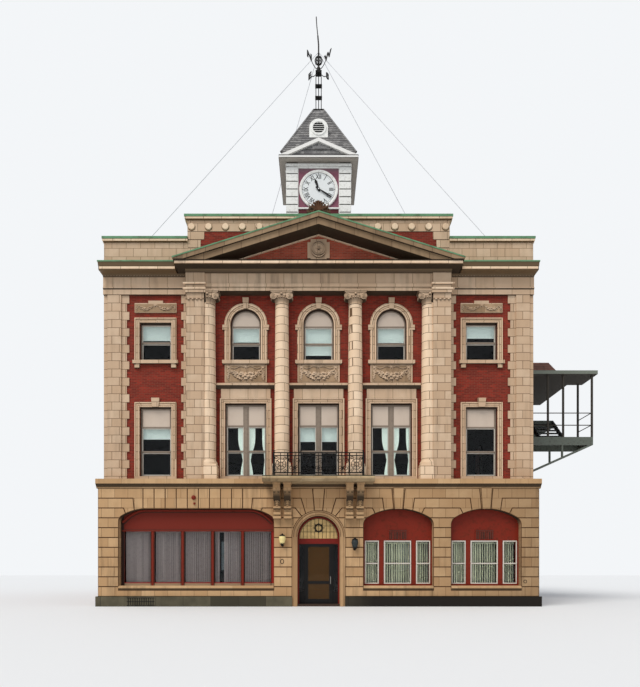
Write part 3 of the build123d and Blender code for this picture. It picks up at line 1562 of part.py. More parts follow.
def landing_canopy():
    """Flat canopy on posts with a low hipped roof behind it, and the rails of the half landing."""
    y0, y1 = LANDING_Y0, LANDING_Y0 + LANDING_DEPTH
    canopy = slab(FRONT_HALF, CANOPY_X1, y0 - STEEL_BAR, y1, CANOPY_Z, CANOPY_Z + CANOPY_T)
    roof_base = CANOPY_Z + CANOPY_T
    side = [
        (FRONT_HALF, CANOPY_Z),
        (CANOPY_ROOF_X1, CANOPY_Z),
        (CANOPY_ROOF_X1, roof_base),
        (CANOPY_ROOF_TOP_X1, CANOPY_ROOF_Z),
        (FRONT_HALF, CANOPY_ROOF_Z),
    ]
    end = [
        (y1, CANOPY_Z),
        (CANOPY_ROOF_END, CANOPY_Z),
        (CANOPY_ROOF_END, roof_base),
        (CANOPY_ROOF_END - CANOPY_ROOF_INSET, CANOPY_ROOF_Z),
        (y1 + CANOPY_ROOF_INSET, CANOPY_ROOF_Z),
        (y1, roof_base),
    ]
    roof = along_y(side, y1, CANOPY_ROOF_END) & along_x(end, FRONT_HALF, CANOPY_ROOF_X1)
    made = [canopy + roof]
    front = y0 + STEEL_BAR
    for x in POST_X:
        made.append(slab(x, x + STEEL_BAR, y0, front, LANDING_Z, CANOPY_Z))
    made.append(slab(POST_X[-1], LANDING_X1, y1 - STEEL_BAR, y1, LANDING_Z, CANOPY_Z))
    x = LANDING_X1 - STEEL_BAR / 2
    y = front + RAIL_R
    for rise in RAIL_RISES:
        z = LANDING_Z + rise
        made.append(rod((FRONT_HALF, y, z), (LANDING_X1 - STEEL_BAR, y, z), RAIL_R, 4))
        made.append(rod((x, front, z), (x, y1 - STEEL_BAR, z), RAIL_R, 4))
    return made


def wall_lanterns():
    """Opal lantern on a short arm at each side of the entrance."""
    made = []
    y = stone_face - LANTERN_OUT
    for x, z in [(-LANTERN_X, LANTERN_Z[0]), (LANTERN_X, LANTERN_Z[1])]:
        lamp = turned([(r, z + rise) for r, rise in LANTERN_PROFILE], x, y, TURNED_SIDES)
        foot = z + LANTERN_PROFILE[0][1] + LANTERN_ARM_R
        made.append(lamp + rod((x, y, foot), (x, stone_face, foot), LANTERN_ARM_R))
    return made


def main():
    nodes = {
        "plinth": plinth,
        "stone_wall_left": stone_wall_left,
        "stone_wall_right": stone_wall_right,
        "stone_over_door": stone_over_door,
        "entrance_surround": entrance_surround,
        "ground_sills": ground_sills,
        "shop_window_frame": shop_window_frame,
        "arched_window_frames": arched_window_frames,
        "ground_glass": lambda: ground_glass() + entrance_glass(),
        "entrance_frame": entrance_frame,
        "door_leaf": door_leaf,
        "door_panes": door_panes,
        "door_handle": door_handle,
        "string_course": string_course,
        "balcony_slab": balcony_slab,
        "balcony_consoles": balcony_consoles,
        "balcony_railing": balcony_railing,
        "upper_front_wall": upper_front_wall,
        "pilasters": pilasters,
        "quoins": quoins,
        "columns": columns,
        "capitals": capitals,
        "window_surrounds": window_surrounds,
        "window_sills": window_sills,
        "bay_cornices": bay_cornices,
        "swag_panels": swag_panels,
        "upper_window_frames": upper_window_frames,
        "upper_glass": upper_glass,
        "centre_entablature": centre_entablature,
        "wing_entablatures": wing_entablatures,
        "tympanum": tympanum,
        "pediment_cornices": pediment_cornices,
        "copper_flashings": copper_flashings,
        "cartouche": cartouche,
        "acroterion": acroterion,
        "attic_walls": attic_walls,
        "attic_copings": attic_copings,
        "party_wall": party_wall,
        "flank_wall": flank_wall,
        "rear_wall": rear_wall,
        "back_window_frames": back_window_frames,
        "back_glass": back_glass,
        "ground_floor": ground_floor,
        "upper_floors": upper_floors,
        "roof_deck": roof_deck,
        "tower_walls": tower_walls,
        "tower_corner_boards": tower_corner_boards,
        "tower_eaves": tower_eaves,
        "tower_roof": tower_roof,
        "tower_dormers": tower_dormers,
        "clock_dials": clock_dials,
        "hour_hand": hour_hand,
        "minute_hand": minute_hand,
        "mast": mast,
        "mast_finial": mast_finial,
        "stays": stays,
        "side_landing": side_landing,
        "side_stair": side_stair,
        "landing_canopy": landing_canopy,
        "wall_lanterns": wall_lanterns,
    }
    for name, make in nodes.items():
        save(name, make())


main()
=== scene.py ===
import random
from math import copysign, cos, exp, floor, pi, radians, sin, sqrt

import bmesh
import bpy
from mathutils import Matrix, Vector


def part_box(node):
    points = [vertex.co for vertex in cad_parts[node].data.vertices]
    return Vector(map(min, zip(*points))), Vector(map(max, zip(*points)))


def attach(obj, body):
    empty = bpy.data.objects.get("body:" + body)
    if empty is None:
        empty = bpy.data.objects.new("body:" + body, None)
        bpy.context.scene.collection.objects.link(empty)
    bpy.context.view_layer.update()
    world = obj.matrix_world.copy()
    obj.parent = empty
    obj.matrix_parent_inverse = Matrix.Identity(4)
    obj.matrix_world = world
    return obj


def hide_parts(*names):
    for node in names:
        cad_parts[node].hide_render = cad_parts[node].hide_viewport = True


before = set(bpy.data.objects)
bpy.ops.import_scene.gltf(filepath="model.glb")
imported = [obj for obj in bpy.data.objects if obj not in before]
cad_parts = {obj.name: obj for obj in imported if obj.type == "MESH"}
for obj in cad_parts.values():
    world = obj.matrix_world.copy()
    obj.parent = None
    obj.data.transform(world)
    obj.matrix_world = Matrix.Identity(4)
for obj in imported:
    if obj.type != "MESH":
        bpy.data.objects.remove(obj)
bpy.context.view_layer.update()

# The photograph's frame and the camera's place, read from the level lines of the front
FRAME_W = 640
FRAME_H = 687
AXIS_PX = (318.6, 570.0)
FOCAL_PX = 610.0
BRICK_AWAY = 25.0
CAMERA_Z = 1.46
CAMERA_AT = Vector((0.0, -BRICK_AWAY, CAMERA_Z))
# Metres that a pixel spans on the brick face
PX_M = 0.041

# Courses, and the middles of the window bays
BRICK_W = 0.213
BRICK_H = 0.0674
BLOCK_W = 0.53
BLOCK_H = 0.3936
QUOIN_H = 0.337
COURSE_LIFT = 0.231
BAY = 2.98
WING_X = 6.67
THIRD_X = (-BAY, 0, BAY)
WINGS = (-WING_X, WING_X)
SHINGLE_H = 0.13


# Mesh and piece helpers


def low(node):
    return Vector(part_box(node)[0])


def high(node):
    return Vector(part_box(node)[1])


def add_box(bm, x0, x1, y0, y1, z0, z1):
    size = Matrix.Diagonal((x1 - x0, y1 - y0, z1 - z0, 1))
    place = Matrix.Translation(((x0 + x1) / 2, (y0 + y1) / 2, (z0 + z1) / 2))
    bmesh.ops.create_cube(bm, size=1, matrix=place @ size)


def add_prism(bm, points, normal, depth):
    """Plate with the given outline, pushed out along the normal."""
    face = bm.faces.new([bm.verts.new(p) for p in points])
    grown = bmesh.ops.extrude_face_region(bm, geom=[face])["geom"]
    moved = [g for g in grown if isinstance(g, bmesh.types.BMVert)]
    bmesh.ops.translate(bm, verts=moved, vec=Vector(normal) * depth)


def add_lathe(bm, profile, centre, axis=(0, 0, 1), side=(1, 0, 0), steps=20):
    """Profile of (radius, height) turned about an axis through the centre."""
    centre, axis, side = Vector(centre), Vector(axis), Vector(side)
    verts = [bm.verts.new(centre + side * r + axis * h) for r, h in profile]
    edges = [bm.edges.new(pair) for pair in zip(verts, verts[1:])]
    turn = {"cent": centre, "axis": axis, "angle": 2 * pi, "steps": steps, "use_merge": True}
    bmesh.ops.spin(bm, geom=verts + edges, **turn)


def add_knob(bm, profile, centre, steps=20):
    """Profile turned about an axis that points out of the front."""
    add_lathe(bm, profile, centre, axis=(0, -1, 0), steps=steps)


def add_about(bm, x, half, *sides):
    """Box of the given half width about a middle line."""
    add_box(bm, x - half, x + half, *sides)


def span(side, near, far, middle=0.0):
    """Ends of a stretch on one side of a middle line, in rising order."""
    return sorted((middle + side * near, middle + side * far))


def add_pair(bm, near, far, *sides, middle=0.0):
    """Two boxes, one on either side of a middle line."""
    for side in (-1, 1):
        add_box(bm, *span(side, near, far, middle), *sides)


def bevel(bm, width):
    bmesh.ops.bevel(
        bm, geom=bm.edges[:], offset=width, segments=1, affect="EDGES", profile=0.5, material=-1
    )


def mesh_of(bm, name):
    """Mesh data from a mesh that has been built up, which is then freed."""
    mesh = bpy.data.meshes.new(name)
    bm.to_mesh(mesh)
    bm.free()
    return mesh


def finish(bm, name, slot, material, body="building", smooth=None):
    """Turn a mesh that has been built up into a piece that rides on a body."""
    bmesh.ops.recalc_face_normals(bm, faces=bm.faces)
    mesh = mesh_of(bm, name)
    mesh.materials.append(material)
    if smooth is not None:
        mesh.shade_smooth()
        mesh.set_sharp_from_angle(angle=radians(smooth))
    piece = bpy.data.objects.new(name, mesh)
    bpy.context.scene.collection.objects.link(piece)
    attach(piece, body)
    return piece


def piece_of(name, slot, material, smooth=None, edge=None, four=False):
    """Make one piece from a function that fills its mesh, bevelled or repeated round the tower."""

    def wrap(fill):
        def make():
            bm = bmesh.new()
            fill(bm)
            if edge:
                bevel(bm, edge)
            (four_sides if four else finish)(bm, name, slot, material, smooth=smooth)

        return make

    return wrap


# Shader helpers. Colours are red, green and blue from 0 to 255, as displayed.

# Dark colour of the soot streaks, also the painted shade on undersides and in recesses
SOOT_AND_SHADE = (46, 37, 27)
# Colour of the painted shade on surfaces inside the rooms
ROOM_PAINTED_SHADE = (26, 22, 19)


def linear(red, green, blue):
    """Colour from 0-255 display values."""
    shares = [v / 255 for v in (red, green, blue)]
    return tuple(v / 12.92 if v <= 0.04045 else ((v + 0.055) / 1.055) ** 2.4 for v in shares) + (1.0,)


def add_node(tree, kind, inputs=None, **settings):
    made = tree.nodes.new(kind)
    for key, value in settings.items():
        setattr(made, key, value)
    for key, value in (inputs or {}).items():
        if isinstance(value, bpy.types.NodeSocket):
            tree.links.new(value, made.inputs[key])
        else:
            made.inputs[key].default_value = value
    return made


def calc(tree, operation, a, b=0.0, clamp=False):
    return add_node(tree, "ShaderNodeMath", {0: a, 1: b}, operation=operation, use_clamp=clamp).outputs[0]


def times(tree, a, b, clamp=False):
    return calc(tree, "MULTIPLY", a, b, clamp)


def object_coords(tree):
    return add_node(tree, "ShaderNodeTexCoord").outputs["Object"]


def noise_of(tree, coords, scale, detail):
    values = {"Vector": coords, "Scale": scale, "Detail": detail}
    return add_node(tree, "ShaderNodeTexNoise", values).outputs[0]


def ramp(tree, value, start, end):
    """0 where the value is at the start and 1 where it is at the end."""
    values = {"Value": value, "From Min": start, "From Max": end}
    return add_node(tree, "ShaderNodeMapRange", values).outputs[0]


def place_axes(tree):
    """X, Y and Z of a place on the object."""
    return add_node(tree, "ShaderNodeSeparateXYZ", {0: object_coords(tree)}).outputs


def add_bump(tree, shader, strength, distance, height):
    values = {"Strength": strength, "Distance": distance, "Height": height}
    bump = add_node(tree, "ShaderNodeBump", values)
    tree.links.new(bump.outputs[0], shader.inputs["Normal"])


def blend_colours(tree, share, a, b):
    return add_node(tree, "ShaderNodeMix", {0: share, 6: a, 7: b}, data_type="RGBA").outputs[2]


def new_group(name, inputs, outputs):
    """Shader group with number inputs as (label, default) and number outputs by label."""
    tree = bpy.data.node_groups.new(name, "ShaderNodeTree")
    for label, default in inputs:
        socket = tree.interface.new_socket(name=label, in_out="INPUT", socket_type="NodeSocketFloat")
        socket.default_value = default
    for label in outputs:
        tree.interface.new_socket(name=label, in_out="OUTPUT", socket_type="NodeSocketFloat")
    return tree, tree.nodes.new("NodeGroupInput"), tree.nodes.new("NodeGroupOutput")


def make_weathering():
    """Rain streaks, broad blotches and fine grain, all on object coordinates."""
    tree, _, out = new_group("weathering", [], ["Streak", "Mottle", "Grain"])
    coords = object_coords(tree)
    stretch = add_node(tree, "ShaderNodeMapping", {"Vector": coords, "Scale": (5.0, 5.0, 0.5)}).outputs[0]
    fine = noise_of(tree, stretch, 1.0, 4.0)
    broad = noise_of(tree, coords, 0.35, 3.0)
    lines = ramp(tree, fine, 0.48, 0.75)
    patches = ramp(tree, broad, 0.4, 0.7)
    streak = times(tree, lines, patches, True)
    blotch = noise_of(tree, coords, 2.6, 5.0)
    mottle = ramp(tree, blotch, 0.35, 0.65)
    grain = noise_of(tree, coords, 60.0, 3.0)
    for label, value in (("Streak", streak), ("Mottle", mottle), ("Grain", grain)):
        tree.links.new(value, out.inputs[label])
    return tree


def make_courses():
    """Coursed masonry on upright walls that face any of the four ways."""
    inputs = [("Width", 0.2), ("Height", 0.07), ("Joint", 0.008), ("Lift", 0.0)]
    tree, given, out = new_group("courses", inputs, ["Tone", "Joint"])
    apart = place_axes(tree)
    along = calc(tree, "ADD", apart[0], apart[1])
    up = calc(tree, "SUBTRACT", apart[2], given.outputs["Lift"])
    flat = add_node(tree, "ShaderNodeCombineXYZ", {0: along, 1: up}).outputs[0]
    values = {
        "Vector": flat,
        "Color1": (0, 0, 0, 1),
        "Color2": (1, 1, 1, 1),
        "Mortar": (0.5, 0.5, 0.5, 1),
        "Scale": 1.0,
        "Mortar Size": given.outputs["Joint"],
        "Mortar Smooth": 0.3,
        "Brick Width": given.outputs["Width"],
        "Row Height": given.outputs["Height"],
    }
    bricks = add_node(tree, "ShaderNodeTexBrick", values)
    tree.links.new(bricks.outputs["Color"], out.inputs["Tone"])
    tree.links.new(bricks.outputs["Fac"], out.inputs["Joint"])
    return tree


def make_indoors():
    """Mask of the surfaces within the outer walls, which little daylight reaches and which take a painted
    shade.
    """
    tree, _, out = new_group("indoors", [], ["Inside"])
    x, y, z = place_axes(tree)
    ground_storey = calc(tree, "LESS_THAN", z, GROUND_CEILING)
    forward = times(tree, ground_storey, ROOM_FRONT - GROUND_ROOM_FRONT)
    inside = calc(tree, "GREATER_THAN", y, calc(tree, "SUBTRACT", ROOM_FRONT, forward))
    for test, value, limit in (
        ("LESS_THAN", y, low("rear_wall").y + ROOM_EDGE),
        ("GREATER_THAN", x, high("party_wall").x - ROOM_EDGE),
        ("LESS_THAN", x, low("flank_wall").x + ROOM_EDGE),
        ("LESS_THAN", z, low("roof_deck").z + ROOM_EDGE),
    ):
        inside = times(tree, inside, calc(tree, test, value, limit))
    tree.links.new(inside, out.inputs["Inside"])
    return tree


# Limits of the rooms: inner faces of the front, upstairs and on the ground, and a ceiling
ROOM_FRONT = 0.2
GROUND_ROOM_FRONT = -0.16
GROUND_CEILING = 5.05
ROOM_EDGE = 0.01
weathering = make_weathering()
courses = make_courses()
indoors = make_indoors()


def add_group(tree, group, **inputs):
    made = tree.nodes.new("ShaderNodeGroup")
    made.node_tree = group
    for key, value in inputs.items():
        made.inputs[key].default_value = value
    return made.outputs


def new_material(name, roughness, metallic=0.0):
    material = bpy.data.materials.new(name)
    material.use_nodes = True
    shader = material.node_tree.nodes["Principled BSDF"]
    shader.inputs["Roughness"].default_value = roughness
    shader.inputs["Metallic"].default_value = metallic
    shader.inputs["Specular IOR Level"].default_value = 0.25
    return material, material.node_tree, shader


def shade_by_place(material, colour, axis, start, end, within=None):
    """Another colour from one place on an axis to the next, perhaps only near the middle line."""
    tree = material.node_tree
    shader = tree.nodes["Principled BSDF"]
    places = place_axes(tree)
    share = ramp(tree, places[axis], start, end)
    if within:
        away = calc(tree, "ABSOLUTE", places[0])
        share = times(tree, share, calc(tree, "LESS_THAN", away, within))
    now = shader.inputs["Base Color"].links[0].from_socket
    tree.links.new(blend_colours(tree, share, now, linear(*colour)), shader.inputs["Base Color"])


def masonry(name, pale, deep, mortar, size, joint, soot, roughness=0.85, dirt_and_shade=SOOT_AND_SHADE, lift=0.0, under=0.95):
    """Bricks or blocks of two shades with mortar joints, blotches, streaks and grain, with soot and painted
    shade on faces that look down and painted shade inside the rooms.
    """
    material, tree, shader = new_material(name, roughness)
    pale, deep, mortar, dirt_and_shade, dark = (linear(*c) for c in (pale, deep, mortar, dirt_and_shade, ROOM_PAINTED_SHADE))
    wear = add_group(tree, weathering)
    wall = add_group(tree, courses, Width=size[0], Height=size[1], Joint=joint, Lift=lift)
    colour = blend_colours(tree, wall["Tone"], pale, deep)
    shade = blend_colours(tree, times(tree, wear["Mottle"], 0.5), colour, deep)
    pointed = blend_colours(tree, wall["Joint"], shade, mortar)
    streaked = blend_colours(tree, times(tree, wear["Streak"], soot), pointed, dirt_and_shade)
    normal = add_node(tree, "ShaderNodeNewGeometry").outputs["Normal"]
    facing = add_node(tree, "ShaderNodeSeparateXYZ", {0: normal})
    # Soot and painted shade: faces that look down turn towards the dark colour by the share under
    below = times(tree, facing.outputs[2], -1.5, True)
    underside_shaded = blend_colours(tree, times(tree, below, under), streaked, dirt_and_shade)
    # Painted shade: surfaces inside the rooms turn to the room colour
    room = add_group(tree, indoors)["Inside"]
    tree.links.new(blend_colours(tree, room, underside_shaded, dark), shader.inputs["Base Color"])
    raised = calc(tree, "SUBTRACT", times(tree, wear["Grain"], 0.3), wall["Joint"])
    add_bump(tree, shader, 0.4, 0.006, raised)
    return material


def coated(name, colour, worn, wear=0.35, roughness=0.5, metallic=0.0, relief=0.15, scale=9.0):
    """Paint, patina or metal of one colour that turns to the worn colour in patches and streaks."""
    material, tree, shader = new_material(name, roughness, metallic)
    old = add_group(tree, weathering)
    coords = object_coords(tree)
    noise = noise_of(tree, coords, scale, 6.0)
    patches = ramp(tree, noise, 0.5, 0.72)
    both = calc(tree, "MAXIMUM", patches, times(tree, old["Streak"], 0.8))
    share = times(tree, both, wear)
    tree.links.new(blend_colours(tree, share, linear(*colour), linear(*worn)), shader.inputs["Base Color"])
    dull = add_node(tree, "ShaderNodeMapRange", {"Value": share, "To Min": roughness, "To Max": 0.9})
    tree.links.new(dull.outputs[0], shader.inputs["Roughness"])
    add_bump(tree, shader, relief, 0.004, old["Grain"])
    return material


def glazing(name, tint, clear=1.0):
    """Slightly wavy glass with a tint given as a linear colour."""
    material, tree, shader = new_material(name, 0.03)
    shader.inputs["Base Color"].default_value = tint
    shader.inputs["Transmission Weight"].default_value = clear
    shader.inputs["IOR"].default_value = 1.25
    coords = object_coords(tree)
    waves = add_node(tree, "ShaderNodeTexNoise", {"Vector": coords, "Scale": 1.4}).outputs[0]
    add_bump(tree, shader, 0.12, 0.02, waves)
    return material


TERRA = ((208, 182, 154), (190, 160, 130))
# Lighter copy of the terra cotta: painted light on copings, fillets, beads, bosses and columns
LIT_TERRA = ((240, 214, 184), (222, 192, 160))
GOLD = ((200, 165, 124), (178, 141, 101))
DRUM = (0.61, QUOIN_H)

brick = masonry(
    "red_brick", (150, 46, 30), (104, 32, 22), (118, 66, 50), (BRICK_W, BRICK_H), 0.009, 0.35
)
plain_brick = masonry(
    "plain_brick", (138, 84, 64), (108, 64, 50), (140, 118, 102), (BRICK_W, BRICK_H), 0.01, 0.5
)
blocks = masonry("golden_blocks", *GOLD, (122, 92, 62), (BLOCK_W, BLOCK_H), 0.008, 0.6, lift=0.4)
shade_by_place(blocks, SOOT_AND_SHADE, 0, 1.8, 21.0)
# Arch stone darker than the blocks: partly aged stone, partly painted shade in its deep mouldings
arch_gold = masonry(
    "entrance_arch", (190, 154, 114), (158, 124, 88), (110, 84, 58), (0.5, 6.0), 0.004, 0.9, 0.8
)
carved_gold = masonry("golden_carving", *GOLD, (140, 110, 78), (2.0, 6.0), 0.002, 0.9, lift=0.4)
smooth_gold = masonry("golden_mouldings", *GOLD, (140, 110, 78), (0.9, 5.0), 0.005, 0.6, lift=0.4)
terra = masonry("terra_cotta", *TERRA, (104, 78, 54), DRUM, 0.011, 0.5, 0.55, lift=COURSE_LIFT)
terra_carved = masonry("terra_cotta_carving", *TERRA, (156, 132, 106), (0.9, 6.0), 0.002, 0.9, 0.55)
attic_blocks = masonry("attic_blocks", *TERRA, (120, 94, 68), (0.585, 0.345), 0.009, 0.5, 0.6, lift=13.94)
terra_smooth = masonry("terra_cotta_mouldings", *TERRA, (116, 90, 64), (0.74, 6.0), 0.009, 0.6, 0.55)
# Pale terra cotta with little underside darkening: painted highlight on copings, fillets, beads and bosses
highlight_terra = masonry("highlight_terra", *LIT_TERRA, (116, 90, 64), (0.74, 6.0), 0.009, 0.4, 0.6, under=0.1)
# Columns in the lighter terra cotta: painted light against the shading of their round sides
lit_column_terra = masonry("column_drums", *LIT_TERRA, (104, 78, 54), DRUM, 0.011, 0.4, 0.55, lift=COURSE_LIFT)
slab_gold = masonry(
    "balcony_edge", (200, 176, 138), (166, 140, 104), (120, 96, 68), (0.9, 5.0), 0.005, 0.9, under=0.3
)
shade_by_place(slab_gold, (44, 48, 36), 2, 5.06, 5.075)
# Brick of the tympanum, lighter than the other brick: painted light against the shade under the pediment
lit_tympanum_brick = masonry(
    "lit_tympanum_brick", (196, 90, 66), (148, 66, 48), (160, 108, 88), (BRICK_W, BRICK_H), 0.009, 0.3
)
cornice_brown = masonry(
    "cornice_brown", (158, 132, 102), (122, 98, 72), (84, 64, 46), (0.74, 6.0), 0.01, 0.8, 0.7
)
entablature_terra = masonry("entablature", *TERRA, (116, 90, 64), (0.74, 6.0), 0.009, 0.8, 0.6)
# Darker terra cotta for the sunk grounds behind the garlands: painted shade
recess_painted_shade = masonry("recess", (176, 148, 118), (142, 116, 88), SOOT_AND_SHADE, (0.9, 6.0), 0.002, 0.9, 0.8)
plinth_stone = masonry(
    "plinth_stone", (98, 92, 74), (58, 54, 42), (36, 33, 28), (1.1, 0.5), 0.008, 0.6, dirt_and_shade=(30, 28, 24)
)
shade_by_place(plinth_stone, (30, 25, 20), 0, -1.0, 2.2)
# Dark brown of the sunk edges of the blocks: dirt and painted shade in the joints
joint_dirt_and_shade = coated("block_joints", (86, 58, 36), (54, 38, 26), 0.6, 0.95)
# Dark colour of quirks and grooves: painted shadow
groove_painted_shadow = coated("groove_shadow", (112, 86, 60), (84, 64, 44), 0.5, 0.9)
# Near black of reveals and recesses: painted shadow
reveal_painted_shadow = coated("reveal_shadow", (58, 46, 38), (40, 32, 28), 0.5, 0.9)
red_paint = coated("red_paint", (120, 30, 7), (84, 34, 16), 0.6)
grille_rust = coated("grille_paint", (96, 44, 32), (60, 34, 26), 0.6)
mullion_red = coated("mullion_paint", (146, 22, 8), (110, 30, 16), 0.4)
shade_by_place(mullion_red, (112, 30, 12), 2, 3.00, 3.03)
shade_by_place(mullion_red, (150, 128, 102), 2, 0.93, 0.92)
# Painted shade: the left end of the shop window frame turns near black, in its reveal
shade_by_place(mullion_red, (44, 20, 14), 0, -7.88, -7.9)
entry_paint = coated("entrance_paint", (122, 24, 12), (84, 32, 20), 0.5)
shade_by_place(entry_paint, (16, 13, 12), 2, 2.54, 2.50, 0.79)
taupe = coated("taupe_paint", (138, 124, 110), (104, 92, 80), 0.4)
panel_paint = coated("window_panel", (200, 184, 168), (178, 160, 144), 0.3, 0.5, 0.0, 0.1, 2.0)
black_paint = coated("black_paint", (14, 13, 13), (40, 34, 30), 0.3, 0.35)
iron = coated("black_iron", (10, 9, 9), (32, 24, 19), 0.4, 0.6, 0.1)
steel = coated("handle_steel", (190, 188, 182), (120, 118, 112), 0.4, 0.3, 0.9)
wire = coated("stay_wire", (206, 208, 212), (180, 182, 186), 0.4, 0.5)
copper = coated("copper_patina", (98, 142, 106), (80, 100, 74), 0.8, 0.7, 0.0, 0.2, 3.0)
bronze = coated("bronze_patina", (92, 62, 42), (58, 66, 54), 0.7, 0.55, 0.5, 0.2, 7.0)
felt = coated("roofing_felt", (74, 74, 74), (104, 102, 98), 0.6, 0.95)
panel_rose = coated("tower_panel_paint", (134, 82, 98), (112, 74, 84), 0.6, 0.7, 0.0, 0.2, 6.0)
maroon = coated("maroon_paint", (84, 22, 30), (64, 26, 30), 0.5, 0.6)
# Grey of the eave soffits: painted shade on the white paint, which stays white above the soffit
soffit_painted_shade = coated("soffit_paint", (192, 184, 174), (150, 142, 132), 0.5, 0.7)
shade_by_place(soffit_painted_shade, (236, 234, 230), 2, 21.225, 21.235)
white_paint = coated("white_paint", (242, 242, 238), (176, 172, 164), 0.45, 0.6)
shingle = masonry(
    "grey_shingles", (166, 164, 162), (112, 111, 112), (50, 49, 50), (0.19, SHINGLE_H), 0.006, 0.3
)
dial_paint = coated("dial_face", (234, 238, 238), (212, 214, 212), 0.3, 0.4)
black_enamel = coated("hand_black", (22, 22, 22), (50, 48, 46), 0.3, 0.35)
landing_steel = coated("landing_steel", (98, 104, 96), (70, 66, 58), 0.6, 0.6, 0.1)
canopy_boards = masonry(
    "canopy_boards", (122, 84, 74), (92, 64, 56), (52, 40, 36), (0.9, 0.12), 0.012, 0.5
)
shade_by_place(canopy_boards, (116, 122, 112), 2, 10.62, 10.61)
# Painted shade: the underside of the canopy turns dark
shade_by_place(canopy_boards, (64, 60, 54), 2, 10.445, 10.435)
finial_grey = coated("finial_metal", (40, 38, 37), (74, 70, 66), 0.5, 0.6, 0.1)
sash_paint = coated("sash_paint", (208, 203, 192), (170, 162, 150), 0.4)
# Near black behind the louvres, in the board grooves and along the eave: painted shade
painted_louvre_shade = coated("louvre_shade", (34, 33, 32), (52, 50, 48), 0.4, 0.8)
lead = coated("lead_came", (60, 54, 44), (90, 82, 66), 0.4, 0.5, 0.6)
floor_boards = coated("dark_floor", (62, 46, 36), (44, 34, 28), 0.5, 0.6)
glass = glazing("window_glass", (0.93, 0.96, 0.95, 1))
door_glass = glazing("door_glass", linear(132, 96, 52), 0.75)
# Back panes tinted dark: painted shade, so the rooms read dark through the front windows
back_pane = glazing("back_window_glass", (0.12, 0.14, 0.14, 1))
opal = coated("opal_glass", (236, 216, 150), (214, 190, 130), 0.3, 0.25)
shade_by_place(opal, (48, 54, 54), 0, -0.1, 0.1)

shade_by_place(entablature_terra, (104, 84, 60), 2, 13.36, 13.5)
# Painted shade: the tower panels turn grey towards the top, under the eave
shade_by_place(panel_rose, (120, 116, 116), 2, 20.7, 21.15)

# Which material covers which nodes of the CAD
FINISHES = [
    (plinth_stone, "plinth"),
    (blocks, "stone_wall_left stone_wall_right stone_over_door"),
    (arch_gold, "entrance_surround"),
    (smooth_gold, "ground_sills string_course balcony_consoles"),
    (slab_gold, "balcony_slab"),
    (mullion_red, "shop_window_frame"),
    (red_paint, "arched_window_frames"),
    (entry_paint, "entrance_frame"),
    (black_paint, "door_leaf"),
    (steel, "door_handle"),
    (iron, "balcony_railing mast mast_finial side_stair"),
    (brick, "upper_front_wall attic_walls"),
    (lit_tympanum_brick, "tympanum"),
    (plain_brick, "flank_wall rear_wall party_wall"),
    (terra, "pilasters quoins window_surrounds"),
    (lit_column_terra, "columns"),
    (terra_smooth, "capitals window_sills bay_cornices swag_panels cartouche"),
    (entablature_terra, "centre_entablature wing_entablatures"),
    (cornice_brown, "pediment_cornices"),
    (taupe, "upper_window_frames back_window_frames"),
    (copper, "copper_flashings"),
    (highlight_terra, "attic_copings"),
    (bronze, "acroterion"),
    (floor_boards, "ground_floor upper_floors"),
    (felt, "roof_deck"),
    (panel_rose, "tower_walls"),
    # The corner boards show only in the grooves between the banded boards, near black as painted shade
    (painted_louvre_shade, "tower_corner_boards"),
    (soffit_painted_shade, "tower_eaves"),
    (white_paint, "tower_dormers"),
    (shingle, "tower_roof"),
    (dial_paint, "clock_dials"),
    (black_enamel, "hour_hand minute_hand"),
    (wire, "stays"),
    (landing_steel, "side_landing"),
    (canopy_boards, "landing_canopy"),
    (opal, "wall_lanterns"),
    (glass, "ground_glass upper_glass"),
    (back_pane, "back_glass"),
    (door_glass, "door_panes"),
]


def dress_nodes():
    for material, names in FINISHES:
        for name in names.split():
            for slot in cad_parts[name].material_slots:
                slot.material = material


# Camera and light


def set_camera():
    """Camera square to the front, with the lens shifted up as in the photograph."""
    data = bpy.data.cameras.new("camera")
    data.sensor_width = 36.0
    data.sensor_fit = "AUTO"
    data.lens = 36.0 * FOCAL_PX / FRAME_H
    data.shift_x = (FRAME_W / 2 - AXIS_PX[0]) / FRAME_H
    data.shift_y = (AXIS_PX[1] - FRAME_H / 2) / FRAME_H
    data.clip_end = 300.0
    camera = bpy.data.objects.new("camera", data)
    camera.location = CAMERA_AT
    camera.rotation_euler = (radians(90), 0, 0)
    bpy.context.scene.collection.objects.link(camera)
    bpy.context.scene.camera = camera


def set_light():
    """Soft sky light with a broad lamp in front and above."""
    scene = bpy.context.scene
    scene.view_settings.view_transform = "Standard"
    world = bpy.data.worlds.new("sky")
    world.use_nodes = True
    tree = world.node_tree
    tree.nodes.clear()
    sky = add_node(tree, "ShaderNodeBackground", {"Color": (0.86, 0.9, 0.96, 1), "Strength": 0.62})
    backdrop = add_node(tree, "ShaderNodeBackground", {"Color": (0.9, 0.92, 0.94, 1), "Strength": 1.0})
    path = add_node(tree, "ShaderNodeLightPath").outputs
    mix = add_node(
        tree, "ShaderNodeMixShader", {0: path["Is Camera Ray"], 1: sky.outputs[0], 2: backdrop.outputs[0]}
    )
    out = tree.nodes.new("ShaderNodeOutputWorld")
    tree.links.new(mix.outputs[0], out.inputs["Surface"])
    scene.world = world
    lamp = bpy.data.lights.new("key", "SUN")
    lamp.energy = 2.1
    lamp.angle = radians(35)
    lamp.color = (1.0, 0.96, 0.9)
    key = bpy.data.objects.new("key", lamp)
    key.rotation_euler = (radians(38), radians(-12), radians(-20))
    scene.collection.objects.link(key)


